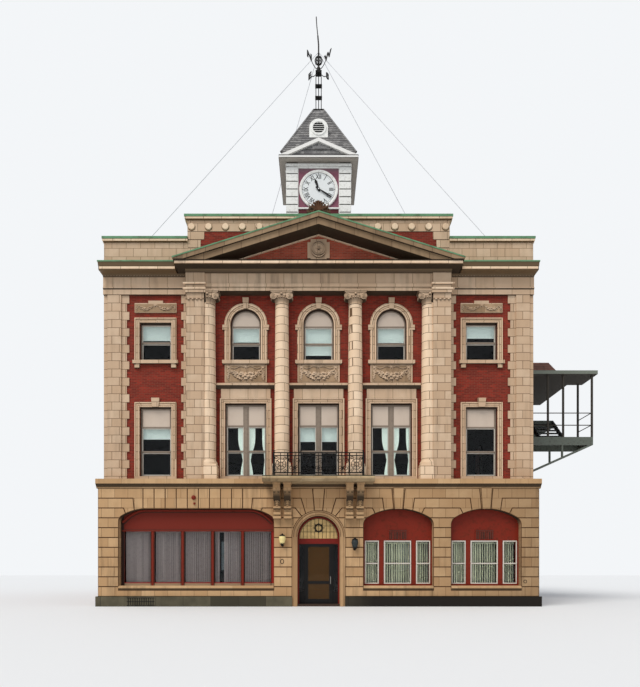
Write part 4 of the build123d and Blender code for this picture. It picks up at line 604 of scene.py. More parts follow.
def set_floor():
    bm = bmesh.new()
    bmesh.ops.create_grid(bm, x_segments=1, y_segments=1, size=140)
    mesh = mesh_of(bm, "floor")
    ground = bpy.data.objects.new("floor", mesh)
    bpy.context.scene.collection.objects.link(ground)
    material, _, shader = new_material("pale_floor", 0.9)
    shader.inputs["Base Color"].default_value = (0.82, 0.83, 0.84, 1)
    mesh.materials.append(material)


# Rusticated blocks

STONE_FRONT = -0.56
STONE_FOOT = 0.40
BLOCK_PROUD = 0.022
BLOCK_EDGE = 0.02
FAN_Z = 3.9
FAN_FOOT_Z = 2.7
FAN_COURSES = 4
KEY_TOP_COURSE = 10
SHOP_STONES = 9
SHOP_STONE_W = 0.4433
# Joints that turn down round each opening: offset from its middle at FAN_Z, and lean
OPENINGS = [
    (-5.035, [(SHOP_STONES * SHOP_STONE_W / 2, 0.0), (2.35, 0.1), (2.76, 0.37)]),
    (0.0, [(0.17, 0.09), (0.57, 0.3), (0.9, 0.8)]),
    (3.1975, [(0.19, 0.09), (0.58, 0.14), (1.02, 0.5)]),
    (6.7125, [(0.19, 0.09), (0.58, 0.14), (1.02, 0.5)]),
]


def front_faces(names, y):
    """The given nodes' faces on one upright plane, merged into large faces."""
    bm = bmesh.new()
    for name in names:
        bm.from_mesh(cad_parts[name].data)
    bm.normal_update()
    far = [f for f in bm.faces if f.normal.y > -0.99 or abs(f.calc_center_median().y - y) > 0.002]
    bmesh.ops.delete(bm, geom=far, context="FACES")
    bmesh.ops.remove_doubles(bm, verts=bm.verts, dist=1e-4)
    bmesh.ops.dissolve_limit(bm, angle_limit=radians(1), verts=bm.verts, edges=bm.edges)
    return bm


def cut_faces(bm, faces, point, normal):
    edges = {e for f in faces for e in f.edges}
    verts = {v for f in faces for v in f.verts}
    geom = list(faces) + list(edges) + list(verts)
    bmesh.ops.bisect_plane(bm, geom=geom, plane_co=point, plane_no=normal, dist=1e-5)


def stone_of(x, z):
    """Which stone of the front a point belongs to."""
    course = int((z - STONE_FOOT) / BLOCK_H)
    from_top = KEY_TOP_COURSE - course
    for i, (middle, joints) in enumerate(OPENINGS):
        away = abs(x - middle)
        passed = sum(away > offset + lean * (z - FAN_Z) for offset, lean in joints)
        if passed == 0 and from_top < FAN_COURSES:
            return "key", i, floor((x - middle) / SHOP_STONE_W + 0.5) if i == 0 else 0
        if passed < len(joints) and from_top < FAN_COURSES:
            side = x > middle
            return "turned", min(i + side, len(OPENINGS)), min(from_top, passed - 1)
    region = sum(x > middle for middle, _ in OPENINGS)
    return "turned", region, from_top


def rusticated_blocks():
    """Blocks that stand proud of the stone storey, with joints that turn down round the openings."""
    bm = front_faces(["stone_wall_left", "stone_wall_right", "stone_over_door"], STONE_FRONT)
    for i in range(1, KEY_TOP_COURSE + 1):
        cut_faces(bm, bm.faces[:], (0, 0, STONE_FOOT + i * BLOCK_H), (0, 0, 1))
    lines = []
    for middle, fan in OPENINGS:
        for offset, lean in fan:
            lines += [(middle + side * offset, side * lean) for side in (-1, 1)]
    half = SHOP_STONES / 2
    lines += [(OPENINGS[0][0] + (i - half) * SHOP_STONE_W, 0) for i in range(1, SHOP_STONES)]
    for x, lean in lines:
        over = [f for f in bm.faces if f.calc_center_median().z > FAN_FOOT_Z]
        cut_faces(bm, over, (x, 0, FAN_Z), (1, 0, -lean))
    bmesh.ops.remove_doubles(bm, verts=bm.verts, dist=1e-4)
    stones = {}
    for face in bm.faces:
        middle = face.calc_center_median()
        stones.setdefault(stone_of(middle.x, middle.z), []).append(face)
    for faces in stones.values():
        rims = bmesh.ops.inset_region(
            bm, faces=faces, thickness=BLOCK_EDGE, depth=BLOCK_PROUD, use_boundary=True, use_even_offset=True
        )
        # The sunk edges take the dark joint colour, as dirt and painted shade
        for rim in rims["faces"]:
            rim.material_index = 1
    piece = finish(bm, "rusticated_blocks", "golden_stone", blocks)
    piece.data.materials.append(joint_dirt_and_shade)


# Attic

ATTIC_Z = 13.83
ATTIC_PROUD = 0.022
CENTRE_X = 5.35
CENTRE_TOP = 15.78
FRIEZE_FOOT = 15.32
DISC_R = 0.145
DISC_Z = 15.52
DISC_PITCH = 0.66
DISC_FIRST = 5.20
QUOIN_ENDS = [4.83, 4.685]
QUOIN_COURSE = 0.33
QUOIN_GAP = 0.004
WING_ATTIC_TOP = 14.87
WING_COPING_TOP = 15.07
CAP_T = 0.09
CAP_LIP = 0.02
CAP_DEEP = 0.52
FILLET_FOOT = 0.08
QUIRK_FOOT = 0.105


@piece_of("attic_facing", "terra_cotta", attic_blocks, smooth=40, edge=0.008)
def attic_facing(bm):
    """Terra-cotta over the brick attic: wing blocks, corner quoins and frieze."""
    end = high("attic_walls").x
    edge = CENTRE_X + ATTIC_PROUD
    for side in (-1, 1):
        add_box(bm, *span(side, CENTRE_X, end), -ATTIC_PROUD, 0.1, ATTIC_Z, WING_ATTIC_TOP)
        z = FRIEZE_FOOT
        for i in range(5):
            ends = span(side, QUOIN_ENDS[(i + 1) % 2], edge)
            foot = max(z - QUOIN_COURSE, ATTIC_Z) + QUOIN_GAP
            add_box(bm, *ends, -ATTIC_PROUD, 0.2, foot, z - QUOIN_GAP)
            z -= QUOIN_COURSE
    add_about(bm, 0, edge, -ATTIC_PROUD, 0.2, FRIEZE_FOOT, CENTRE_TOP)


@piece_of("attic_bosses", "terra_cotta", highlight_terra, smooth=40)
def attic_bosses(bm):
    """Round bosses along the attic frieze, pale as painted highlight, each with a painted shadow ring round
    its lower half.
    """
    shade = bmesh.new()
    count = int(2 * DISC_FIRST / DISC_PITCH)
    for i in range(count + 1):
        x = -DISC_FIRST + 2 * DISC_FIRST * i / count
        profile = [(0, 0.045), (DISC_R * 0.8, 0.045), (DISC_R * 0.95, 0.02), (DISC_R * 0.95, -0.01)]
        add_knob(bm, profile, (x, -ATTIC_PROUD, DISC_Z))
        ring = [(DISC_R * 0.9, 0.012), (DISC_R * 1.08, 0.01), (DISC_R * 1.08, -0.01)]
        add_knob(shade, ring, (x, -ATTIC_PROUD, DISC_Z - 0.02))
    finish(shade, "boss_shadows", "terra_cotta", groove_painted_shadow, smooth=40)


# Front and back of the fillets on the cornices, and the necking bands of the square piers
CORNICE_LINE_Y = (-1.04, -1.02)
WING_LINE_Y = (-0.585, -0.5)
WING_LINE_END = 8.79
BAND_X = (4.53, 5.44)
BAND_Y = (-0.59, -0.5)
BAND_FEET = (12.72, 12.93)
BAND_H = 0.06
RAKE_LINE_T = 0.06


@piece_of("cornice_lines", "terra_cotta", highlight_terra)
def cornice_lines(bm):
    """Fillets of the cornices, necking bands of the square piers and the mouldings under the rake, pale as
    painted highlight.
    """
    box_low, box_high = low("pediment_cornices"), high("pediment_cornices")
    foot_z, line_z = box_low.z + 0.03, box_low.z + 0.115
    add_box(bm, box_low.x + 0.06, box_high.x - 0.06, *CORNICE_LINE_Y, foot_z, line_z)
    for side in (-1, 1):
        add_box(bm, *span(side, box_high.x + 0.03, WING_LINE_END), *WING_LINE_Y, foot_z, line_z)
        for z in BAND_FEET:
            add_box(bm, *span(side, *BAND_X), *BAND_Y, z, z + BAND_H)
    z0, top = low("tympanum").z, high("tympanum").z
    foot = high("tympanum").x
    y = low("tympanum").y - RAKE_LINE_T
    for side in (-1, 1):
        ends = [(side * foot, z0), (0, top), (0, top - 0.05), (side * (foot - 0.16), z0)]
        add_prism(bm, [(x, y, z) for x, z in ends], (0, 1, 0), RAKE_LINE_T)


@piece_of("coping_lines", "terra_cotta", highlight_terra)
def coping_lines(bm):
    """Pale fillet under the copper of each coping as painted highlight, with a dark quirk below it as
    painted shadow.
    """
    dark = bmesh.new()
    out = low("attic_copings").y + 0.002
    runs = [(-CENTRE_X - 0.12, CENTRE_X + 0.12, high("attic_copings").z)]
    edge = high("attic_copings").x
    runs += [(-edge, -CENTRE_X, WING_COPING_TOP), (CENTRE_X, edge, WING_COPING_TOP)]
    for x0, x1, top in runs:
        top -= CAP_T
        add_box(bm, x0, x1, out, 0.1, top - FILLET_FOOT, top)
        add_box(dark, x0 + 0.03, x1 - 0.03, out + 0.03, 0.1, top - QUIRK_FOOT, top - FILLET_FOOT)
    finish(dark, "coping_quirks", "terra_cotta", groove_painted_shadow)


@piece_of("coping_caps", "copper", copper, edge=0.006)
def coping_caps(bm):
    """Copper caps with a drip edge on the copings."""
    out = low("attic_copings").y - CAP_LIP
    top = high("attic_copings").z
    edge = high("attic_copings").x
    add_about(bm, 0, CENTRE_X + 0.14, out, CAP_DEEP, top - CAP_T, top + 0.01)
    top = WING_COPING_TOP
    add_pair(bm, CENTRE_X, edge + CAP_LIP, out, CAP_DEEP, top - CAP_T, top + 0.01)


# Entablature


def row_of_blocks(bm, x0, x1, y0, y1, z0, z1, pitch, share):
    """Small blocks set at an even pitch between two ends."""
    count = round((x1 - x0) / pitch)
    step = (x1 - x0) / count
    for i in range(count):
        x = x0 + step * (i + 0.5)
        add_about(bm, x, step * share / 2, y0, y1, z0, z1)


EGG_Z = 13.41
EGG_H = 0.075
EGG_PITCH = 0.12
EGG_SIZE = (0.042, 0.035, EGG_H / 2, 1)
# Rows of eggs as (left end, right end, face)
EGG_RUNS = [(-5.3, 5.3, -0.47), (-8.75, -5.45, -0.14), (5.45, 8.75, -0.14)]


@piece_of("egg_band", "terra_cotta", terra_smooth, smooth=60)
def egg_band(bm):
    """Row of eggs under the cornices, over the frieze."""
    for x0, x1, y in EGG_RUNS:
        count = round((x1 - x0) / EGG_PITCH)
        for i in range(count):
            x = x0 + (x1 - x0) * (i + 0.5) / count
            place = Matrix.Translation((x, y, EGG_Z + EGG_H / 2)) @ Matrix.Diagonal(EGG_SIZE)
            bmesh.ops.create_icosphere(bm, subdivisions=1, radius=1, matrix=place)


# Garlands on the panels

FRUIT_SEED = 7
# Sunk grounds as (half width, foot, head)
THIRD_GROUND = (0.79, 9.16, 9.82)
WING_GROUND = (0.84, 12.0, 12.34)
THIRD_SWAG_Z = 9.60
THIRD_BOW_Z = 9.74
WING_SWAG_Z = 12.26


def add_ball(bm, x, y, z, r, flat=0.7):
    matrix = Matrix.Translation((x, y, z)) @ Matrix.Diagonal((r, r * flat, r, 1))
    bmesh.ops.create_icosphere(bm, subdivisions=2, radius=1, matrix=matrix)


def add_leaf(bm, x, y, z, length, turn):
    """Pointed leaf, a squashed cone that lies on the panel."""
    place = Matrix.Translation((x, y, z)) @ Matrix.Rotation(turn, 4, "Y")
    place = place @ Matrix.Diagonal((length * 0.4, 0.018, length, 1))
    cone = {"segments": 6, "radius1": 0.6, "radius2": 0.0, "depth": 1.0, "cap_ends": True}
    bmesh.ops.create_cone(bm, matrix=place, **cone)


def add_swag(bm, rng, x0, x1, y, z, sag, thick):
    """Hanging garland of fruit and leaves between two points of the same height."""
    steps = int((x1 - x0) / 0.035)
    for i in range(steps + 1):
        t = i / steps
        x = x0 + (x1 - x0) * t
        middle = z - sag * 4 * t * (1 - t)
        body = thick * (0.45 + 0.55 * sin(pi * t))
        for _ in range(3):
            r = rng.uniform(0.5, 0.85) * body * 0.55
            dz = rng.uniform(-0.8, 0.8) * body
            add_ball(bm, x + rng.uniform(-0.02, 0.02), y - rng.uniform(0, 0.03), middle + dz, r)
        if i % 3 == 0:
            add_leaf(bm, x, y - 0.01, middle - body * 0.9, body * 1.1, rng.uniform(-0.9, 0.9) + pi)
            add_leaf(bm, x, y - 0.01, middle + body * 0.9, body * 1.1, rng.uniform(-0.9, 0.9))


def add_drop(bm, rng, x, y, z, length, thick):
    """Short bunch hanging straight down."""
    steps = int(length / 0.03)
    for i in range(steps + 1):
        t = i / steps
        body = thick * (0.4 + sin(pi * (0.15 + 0.8 * t)) * 0.6)
        for _ in range(2):
            add_ball(bm, x + rng.uniform(-0.7, 0.7) * body, y - 0.01, z - length * t, body * 0.5)


def add_bow(bm, x, y, z, r):
    """Rosette with two ribbon loops."""
    add_knob(bm, [(0, 0.035), (r * 0.4, 0.03), (r * 0.55, 0.0)], (x, y, z), steps=10)
    for side in (-1, 1):
        add_leaf(bm, x + side * r * 0.7, y - 0.01, z + r * 0.3, r * 1.1, side * 1.9)
        add_leaf(bm, x + side * r * 0.5, y - 0.01, z - r * 0.6, r * 1.2, side * 2.7)


def repeat_mesh(bm, part, shifts):
    """Add copies of a small mesh, each moved along X, to a larger one."""
    shape = mesh_of(part, "repeat")
    last = 0.0
    for x in shifts:
        shape.transform(Matrix.Translation((x - last, 0, 0)))
        last = x
        bm.from_mesh(shape)


@piece_of("panel_grounds", "terra_cotta", recess_painted_shade, edge=0.002)
def panel_grounds(bm):
    """Sunk grounds behind the garlands of the panels, darker than the terra cotta as painted shade."""
    y = low("swag_panels").y
    for middles, (half, foot, head) in ((THIRD_X, THIRD_GROUND), (WINGS, WING_GROUND)):
        for x in middles:
            add_about(bm, x, half, y - 0.004, y + 0.01, foot, head)


def add_ribbon(bm, side, x0, x1, y, z, rise):
    """Waving ribbon above a garland."""
    points = []
    for t in (i / 12 for i in range(13)):
        points.append((side * (x0 + (x1 - x0) * t), y - 0.015, z + rise * sin(2 * pi * t)))
    add_bars(bm, [points], 0.02, 1)


@piece_of("garlands", "terra_cotta", terra_carved, smooth=50)
def garlands(bm):
    """Fruit garlands of the five panels, one random draw for each kind of panel."""
    rng = random.Random(FRUIT_SEED)
    y = low("swag_panels").y
    part = bmesh.new()
    add_swag(part, rng, -0.66, 0.66, y, THIRD_SWAG_Z, 0.24, 0.17)
    for side in (-1, 1):
        add_ribbon(part, side, 0.06, 0.6, y, THIRD_BOW_Z, 0.045)
        add_drop(part, rng, side * 0.71, y, 9.62, 0.4, 0.075)
        add_bow(part, side * 0.70, y, THIRD_BOW_Z, 0.11)
    add_bow(part, 0, y, 9.76, 0.09)
    repeat_mesh(bm, part, THIRD_X)
    part = bmesh.new()
    for side in (-1, 1):
        add_swag(part, rng, *span(side, 0.08, 0.74), y, WING_SWAG_Z, 0.13, 0.075)
        add_drop(part, rng, side * 0.77, y, WING_SWAG_Z, 0.2, 0.05)
    add_bow(part, 0, y, 12.28, 0.09)
    repeat_mesh(bm, part, WINGS)


# Columns

COLUMN_X = [-4.47, -1.49, 1.49, 4.47]
COLUMN_Y = -0.2
CAPITAL_FOOT = 12.23
# Neck and bell of a capital as (radius, height over its foot)
CAPITAL_NECK = [
    (0.262, -0.07), (0.282, -0.055), (0.282, -0.03), (0.268, -0.015), (0.272, 0.08),
    (0.33, 0.19), (0.34, 0.24), (0.28, 0.27),
]
# Layers of the abacus as (foot, head, how far it stands out)
ABACUS = [(0.37, 0.41, 0.0), (0.41, 0.44, 0.02), (0.44, 0.47, 0.035)]
ABACUS_HALF = 0.43
VOLUTE_R = 0.135
VOLUTE_X = 0.325
PIER_SIDE = 4.54


def spiral(turns, r0, r1, steps=26):
    for i in range(steps + 1):
        t = i / steps
        r = r0 * (r1 / r0) ** t
        angle = turns * 2 * pi * t + pi / 2
        yield r * cos(angle), r * sin(angle)


def curve_mesh(paths, radius, resolution, smooth_line=False):
    """Round bars along paths of points, as one mesh."""
    data = bpy.data.curves.new("bars", "CURVE")
    data.dimensions = "3D"
    data.bevel_depth = radius
    data.bevel_resolution = resolution
    data.use_fill_caps = True
    for path in paths:
        line = data.splines.new("NURBS" if smooth_line else "POLY")
        points = [Vector(p) for p in path]
        line.points.add(len(points) - 1)
        for point, place in zip(line.points, points):
            point.co = (*place, 1)
        if smooth_line:
            line.order_u = 3
            line.use_endpoint_u = True
            line.resolution_u = 4
    holder = bpy.data.objects.new("bars", data)
    mesh = bpy.data.meshes.new_from_object(holder)
    bpy.data.objects.remove(holder)
    return mesh


def add_to(bm, mesh):
    bm.from_mesh(mesh)
    bpy.data.meshes.remove(mesh)


def add_bars(bm, *bars):
    add_to(bm, curve_mesh(*bars))


def text_mesh(words, size, offset, extrude):
    """Raised text, centred, in the plane of X and Y."""
    text = bpy.data.curves.new("text", "FONT")
    text.body = words
    text.size = size
    text.offset = offset
    text.extrude = extrude
    text.align_x = "CENTER"
    text.align_y = "CENTER"
    holder = bpy.data.objects.new("text", text)
    mesh = bpy.data.meshes.new_from_object(holder)
    bpy.data.objects.remove(holder)
    return mesh


def add_capital(bm, x):
    """Scrolled capital: neck ring, bell with eggs, two volutes with a band between, and the abacus."""
    front = COLUMN_Y - 0.345
    neck = [(r, CAPITAL_FOOT + h) for r, h in CAPITAL_NECK]
    add_lathe(bm, neck, (x, COLUMN_Y, 0), steps=24)
    for i in range(9):
        angle = pi * (0.12 + 0.76 * i / 8)
        ex, ey = x - 0.325 * cos(angle), COLUMN_Y - 0.325 * sin(angle)
        add_ball(bm, ex, ey, CAPITAL_FOOT + 0.18, 0.035, 1.0)
    for z0, z1, out in ABACUS:
        add_about(bm, x, ABACUS_HALF + out, front - out, 0, CAPITAL_FOOT + z0, CAPITAL_FOOT + z1)
    add_about(bm, x, VOLUTE_X, front + 0.03, -0.05, CAPITAL_FOOT + 0.25, CAPITAL_FOOT + 0.37)
    add_ball(bm, x, front, CAPITAL_FOOT + 0.32, 0.06)
    for side in (-1, 1):
        cx = x + side * VOLUTE_X
        cz = CAPITAL_FOOT + 0.235
        r = VOLUTE_R
        roll = [(0, 0.0), (r, 0.0), (r, -0.06), (r * 0.7, -0.2), (r, -0.36), (0, -0.36)]
        add_knob(bm, roll, (cx, front + 0.015, cz))
        add_ball(bm, cx, front, cz, 0.032)
        ridge = [(cx - side * a, front + 0.01, cz + b) for a, b in spiral(2.2, VOLUTE_R - 0.012, 0.035)]
        add_bars(bm, [ridge], 0.017, 1)


def carved_capitals():
    bm = bmesh.new()
    for x in COLUMN_X:
        part = bmesh.new()
        add_capital(part, x)
        if abs(x) > 3:
            side = copysign(1, x)
            geom = part.verts[:] + part.edges[:] + part.faces[:]
            bmesh.ops.bisect_plane(
                part, geom=geom, plane_co=(side * PIER_SIDE, 0, 0), plane_no=(side, 0, 0), clear_outer=True
            )
        bm.from_mesh(mesh_of(part, "capital"))
    piece = finish(bm, "carved_capitals", "terra_cotta", terra_smooth, smooth=45)
    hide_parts("capitals")


# Faces, height and inner strips of the facings at the ends of the front
FACING_Y = (-0.035, 0.01)
FACING_Z = (5.10, 12.70)
FACING_X = (8.02, 8.1)
# Rosettes in the necks of the piers
PIER_ROSETTE_X = [4.72 + 0.167 * i for i in range(4)]
PIER_ROSETTE_YZ = (-0.53, 12.33)


@piece_of("end_facings", "terra_cotta", terra, edge=0.004)
def end_facings(bm):
    """Terra-cotta strips that close the front's two ends beside the corner pilasters."""
    end = high("pilasters").x
    edge = -low("upper_front_wall").x
    for side in (-1, 1):
        for near, far in ((end - 0.02, edge - 0.002), FACING_X):
            add_box(bm, *span(side, near, far), *FACING_Y, *FACING_Z)


@piece_of("pier_ornaments", "terra_cotta", terra_smooth, smooth=40)
def pier_ornaments(bm):
    """Rosettes in the necks of the square piers."""
    for side in (-1, 1):
        for x in PIER_ROSETTE_X:
            add_knob(bm, [(0, 0.03), (0.03, 0.025), (0.05, 0.0)], (side * x, *PIER_ROSETTE_YZ), steps=8)


# Windows of the two brick storeys

FRAME_FRONT = 0.11
THIRD_HALF = 0.62
THIRD_SILL = 10.03
THIRD_SPRING = 11.51
PAIR_HALF = 0.845
SECOND_SILL = 5.29
PAIR_TOP = 8.27
WING_HALF = 0.65
WING_TOP = 8.12
THIRD_WING_TOP = 11.57
HEAD_PANEL = 0.93
SIDE_PANEL = 0.83
# Width of the fixed rim, and half widths of the lights inside it
RIM = 0.06
THIRD_LIGHT = 0.56
WING_LIGHT = 0.59


def arch_line(x, half, foot, spring, y):
    """Points up one side of an arched opening, over it and down the other side."""
    turn = [pi * (1 - i / 28) for i in range(29)]
    over = [(x + half * cos(a), y, spring + half * sin(a)) for a in turn]
    return [(x - half, y, foot), *over, (x + half, y, foot)]


def square_line(x, half, foot, top, y):
    return [(x - half, y, foot), (x - half, y, top), (x + half, y, top), (x + half, y, foot)]


def surround_lines(out, y):
    """Lines that follow the surrounds of the ten upper windows, the given distance outside the openings."""
    lines = []
    for x in THIRD_X:
        lines.append(arch_line(x, THIRD_HALF + out, THIRD_SILL, THIRD_SPRING, y))
        lines.append(square_line(x, PAIR_HALF + out, SECOND_SILL, PAIR_TOP + out, y))
    for x in WINGS:
        lines.append(square_line(x, WING_HALF + out, SECOND_SILL, WING_TOP + out, y))
        lines.append(square_line(x, WING_HALF + out, THIRD_SILL - 0.03, THIRD_WING_TOP + out, y))
    return lines


@piece_of("surround_mouldings", "terra_cotta", highlight_terra, smooth=40)
def surround_mouldings(bm):
    """Outer fillet and inner bead of every upper surround, pale as painted highlight."""
    add_bars(bm, surround_lines(0.185, -0.062), 0.026, 1)
    add_bars(bm, surround_lines(0.035, -0.060), 0.022, 1)


@piece_of("surround_grooves", "terra_cotta", groove_painted_shadow, smooth=40)
def surround_grooves(bm):
    """Dark quirks beside the mouldings of the surrounds, coloured as painted shadow."""
    add_bars(bm, surround_lines(0.148, -0.056), 0.012, 1)
    add_bars(bm, surround_lines(0.070, -0.056), 0.010, 1)


@piece_of("reveal_lines", "taupe_paint", reveal_painted_shadow, smooth=40)
def reveal_lines(bm):
    """Dark line between each upper frame and its reveal: painted shadow of the reveal."""
    add_bars(bm, surround_lines(-0.012, FRAME_FRONT - 0.012), 0.02, 1)


@piece_of("frame_mouldings", "taupe_paint", taupe, smooth=40)
def frame_mouldings(bm):
    """Brick mould of every upper window, just inside the opening."""
    add_bars(bm, surround_lines(-0.045, FRAME_FRONT - 0.003), 0.02, 1)
    for x in THIRD_X:
        add_about(bm, x, 0.06, FRAME_FRONT - 0.02, FRAME_FRONT, SECOND_SILL, PAIR_TOP - 0.03)


def add_sash(bm, x0, x1, z0, z1, y, bar=0.034):
    """Sash frame of four bars round a pane."""
    add_box(bm, x0, x0 + bar, y, y + 0.03, z0, z1)
    add_box(bm, x1 - bar, x1, y, y + 0.03, z0, z1)
    add_box(bm, x0 + bar, x1 - bar, y, y + 0.03, z0, z0 + bar)
    add_box(bm, x0 + bar, x1 - bar, y, y + 0.03, z1 - bar, z1)


def upper_lights():
    """Clear openings of the sashes in the upper frames, as (x0, x1, foot, meeting, head)."""
    lights = []
    for x in THIRD_X:
        head = PAIR_TOP - HEAD_PANEL
        for side in (-1, 1):
            ends = span(side, 0.105, PAIR_HALF - RIM, x)
            lights.append((*ends, SECOND_SILL + RIM, (SECOND_SILL + head) / 2, head))
        head = THIRD_SPRING - 0.09
        ends = (x - THIRD_LIGHT, x + THIRD_LIGHT)
        lights.append((*ends, THIRD_SILL + RIM, (THIRD_SILL + head) / 2, head))
    for x in WINGS:
        ends = (x - WING_LIGHT, x + WING_LIGHT)
        for sill, head in ((SECOND_SILL, WING_TOP - SIDE_PANEL), (THIRD_SILL, THIRD_WING_TOP - RIM)):
            lights.append((*ends, sill + RIM, (sill + head) / 2, head))
    return lights


@piece_of("upper_sashes", "taupe_paint", sash_paint, edge=0.006)
def upper_sashes(bm):
    """Two sashes in every upper light, the upper one in front."""
    for x0, x1, foot, meeting, head in upper_lights():
        add_sash(bm, x0, x1, foot, meeting - 0.01, FRAME_FRONT + 0.04)
        add_sash(bm, x0, x1, meeting, head, FRAME_FRONT + 0.015)


@piece_of("head_panels", "taupe_paint", panel_paint, edge=0.004)
def head_panels(bm):
    """Closed panels over the sashes."""
    y = FRAME_FRONT - 0.006
    for x in THIRD_X:
        sides = (y, FRAME_FRONT + 0.02, PAIR_TOP - HEAD_PANEL + 0.07, PAIR_TOP - 0.09)
        add_pair(bm, 0.12, PAIR_HALF - 0.09, *sides, middle=x)
        outline = arch_line(x, THIRD_HALF - 0.075, THIRD_SPRING - 0.03, THIRD_SPRING, y)
        add_prism(bm, outline, (0, 1, 0), 0.02)
    for x in WINGS:
        add_about(bm, x, 0.55, y, FRAME_FRONT + 0.02, WING_TOP - SIDE_PANEL + 0.06, WING_TOP - 0.09)


SILL_FOOT = 9.86
APRON_RAIL = 9.15
APRON_OUT = 0.058
BRACKET_X = 0.75


@piece_of("sill_details", "terra_cotta", terra_smooth, edge=0.008)
def sill_details(bm):
    """Lower mouldings of the sills and the small brackets under the wing sills."""
    for x in WINGS:
        for side in (-1, 1):
            add_about(bm, x + side * BRACKET_X, 0.1, -0.1, 0.0, 9.72, SILL_FOOT)
    for x in THIRD_X:
        add_about(bm, x, 0.93, -0.11, 0.0, SILL_FOOT, 9.90)
        add_about(bm, x, 0.86, -APRON_OUT, 0.0, 9.12, APRON_RAIL)
        for side in (-1, 1):
            add_about(bm, x + side * 0.845, 0.018, -APRON_OUT, 0.0, APRON_RAIL, SILL_FOOT)


# Curtains and blinds

BLIND_Y = 0.30
LACE_FOLDS = 7
TIE_Z = 6.1


def cloth_material(name, colour, painted_glow):
    """Thin woven cloth with a painted glow, standing in for the daylight behind the viewer that lights it
    through the glass.
    """
    material, tree, shader = new_material(name, 0.9)
    colour = linear(*colour)
    coords = object_coords(tree)
    weave = add_node(tree, "ShaderNodeTexWave", {"Vector": coords, "Scale": 35.0, "Distortion": 1.0})
    folds = tuple(c * 0.86 for c in colour[:3]) + (1.0,)
    shade = blend_colours(tree, weave.outputs["Fac"], colour, folds)
    tree.links.new(shade, shader.inputs["Base Color"])
    # Painted light: the cloth glows in its own colour
    tree.links.new(shade, shader.inputs["Emission Color"])
    shader.inputs["Emission Strength"].default_value = painted_glow
    add_bump(tree, shader, 0.2, 0.002, weave.outputs["Fac"])
    shader.inputs["Sheen Weight"].default_value = 0.3
    return material


lace = cloth_material("lace_cloth", (238, 246, 240), 0.25)
blind_cloth = cloth_material("blind_cloth", (232, 246, 240), 0.2)


def hang_curtain(name, x_wall, side, top, foot, wide):
    """Gathered curtain from a rod, drawn aside at the height of its tie."""
    bm = bmesh.new()
    bmesh.ops.create_grid(bm, x_segments=70, y_segments=30, size=0.5)
    for vert in bm.verts:
        across, down = vert.co.x + 0.5, 0.5 - vert.co.y
        z = top + (foot - top) * down
        pull = exp(-(((z - TIE_Z) / 0.42) ** 2))
        here = wide * (1 - 0.72 * pull) * (1.0 if z > TIE_Z else 0.6)
        vert.co = (
            x_wall + side * here * across,
            BLIND_Y + 0.022 * sin(2 * pi * LACE_FOLDS * across) * (1 - 0.5 * pull),
            z,
        )
    area = sum(f.calc_area() for f in bm.faces)
    curtain = finish(bm, name, None, lace, smooth=60)


def hang_blind(name, x0, x1, top, drop):
    """Flat roller blind with a slight belly."""
    bm = bmesh.new()
    bmesh.ops.create_grid(bm, x_segments=12, y_segments=12, size=0.5)
    for vert in bm.verts:
        across, down = vert.co.x + 0.5, 0.5 - vert.co.y
        bow = 0.008 * sin(pi * across) * down
        vert.co = (x0 + (x1 - x0) * across, BLIND_Y - bow, top - drop * down)
    blind = finish(bm, name, None, blind_cloth, smooth=60)


def curtains():
    """Lace in the pairs beside the middle one, and roller blinds in all other windows but one."""
    head = PAIR_TOP - HEAD_PANEL
    number = 0
    for bay in (-BAY, BAY):
        for side in (-1, 1):
            inner, outer = bay + side * 0.12, bay + side * 0.76
            number += 1
            hang_curtain(f"lace_curtain_{number}", inner, side, head, SECOND_SILL + 0.1, 0.24)
        number += 1
        hang_curtain(f"lace_curtain_{number}", bay + 0.76, -1, head, SECOND_SILL + 0.1, 0.12)
    for side in (-1, 1):
        name = f"centre_blind_{(side + 3) // 2}"
        hang_blind(name, *span(side, 0.1, 0.8), head + 0.05, 0.62)
    for i, (x, drop) in enumerate([(-BAY, 0.6), (0, 1.15), (BAY, 0.62)], start=1):
        hang_blind(f"third_blind_{i}", x - 0.58, x + 0.58, THIRD_SPRING - 0.02, drop)
    hang_blind("wing_low_blind", -WING_X - 0.6, -WING_X + 0.6, WING_TOP - SIDE_PANEL, 0.42)
    for i, (x, drop) in enumerate([(-WING_X, 0.6), (WING_X, 0.5)], start=1):
        hang_blind(f"wing_blind_{i}", x - 0.6, x + 0.6, THIRD_WING_TOP - 0.02, drop)


# Ground-floor windows

GROUND_FRONT = -0.26
GROUND_SILL = 0.83
SHOP_LIGHTS = 5
SHOP_X = (-8.01, -1.80)
SHOP_BAR = 0.13
SHOP_HEAD = 3.04
ARCH_X = (3.1975, 6.7125)
ARCH_HALF = 1.3975
ARCH_HEAD = 2.62
ARCH_MIDDLE = 0.62
ARCH_BAR = 0.12
SLAT_W = 0.089
SLAT_SEED = 3
GRILLE_Z = (2.67, 3.07)
# Cream sashes of an arched window, from its middle line
ARCH_SASHES = [(-1.325, -0.755), (-0.55, 0.55), (0.755, 1.325)]
MULLION = (0.56, 0.745)
# Head of the shop window: its height, the fall at its ends, and the shares that are level and fall
SHOP_CROWN = 3.93
SHOP_FALL = 0.48
SHOP_LEVEL = 0.70
SHOP_ENDS = 0.30
slat_grey = coated("blind_slats", (182, 166, 164), (150, 136, 134), 0.5, 0.7)
slat_cream = coated("blind_slats_cream", (244, 246, 214), (226, 230, 196), 0.5, 0.7)


SHOP_STEP = (SHOP_X[1] - SHOP_X[0] - SHOP_BAR) / SHOP_LIGHTS


def shop_lights():
    left = SHOP_X[0]
    return [(left + SHOP_BAR + i * SHOP_STEP, left + (i + 1) * SHOP_STEP) for i in range(SHOP_LIGHTS)]


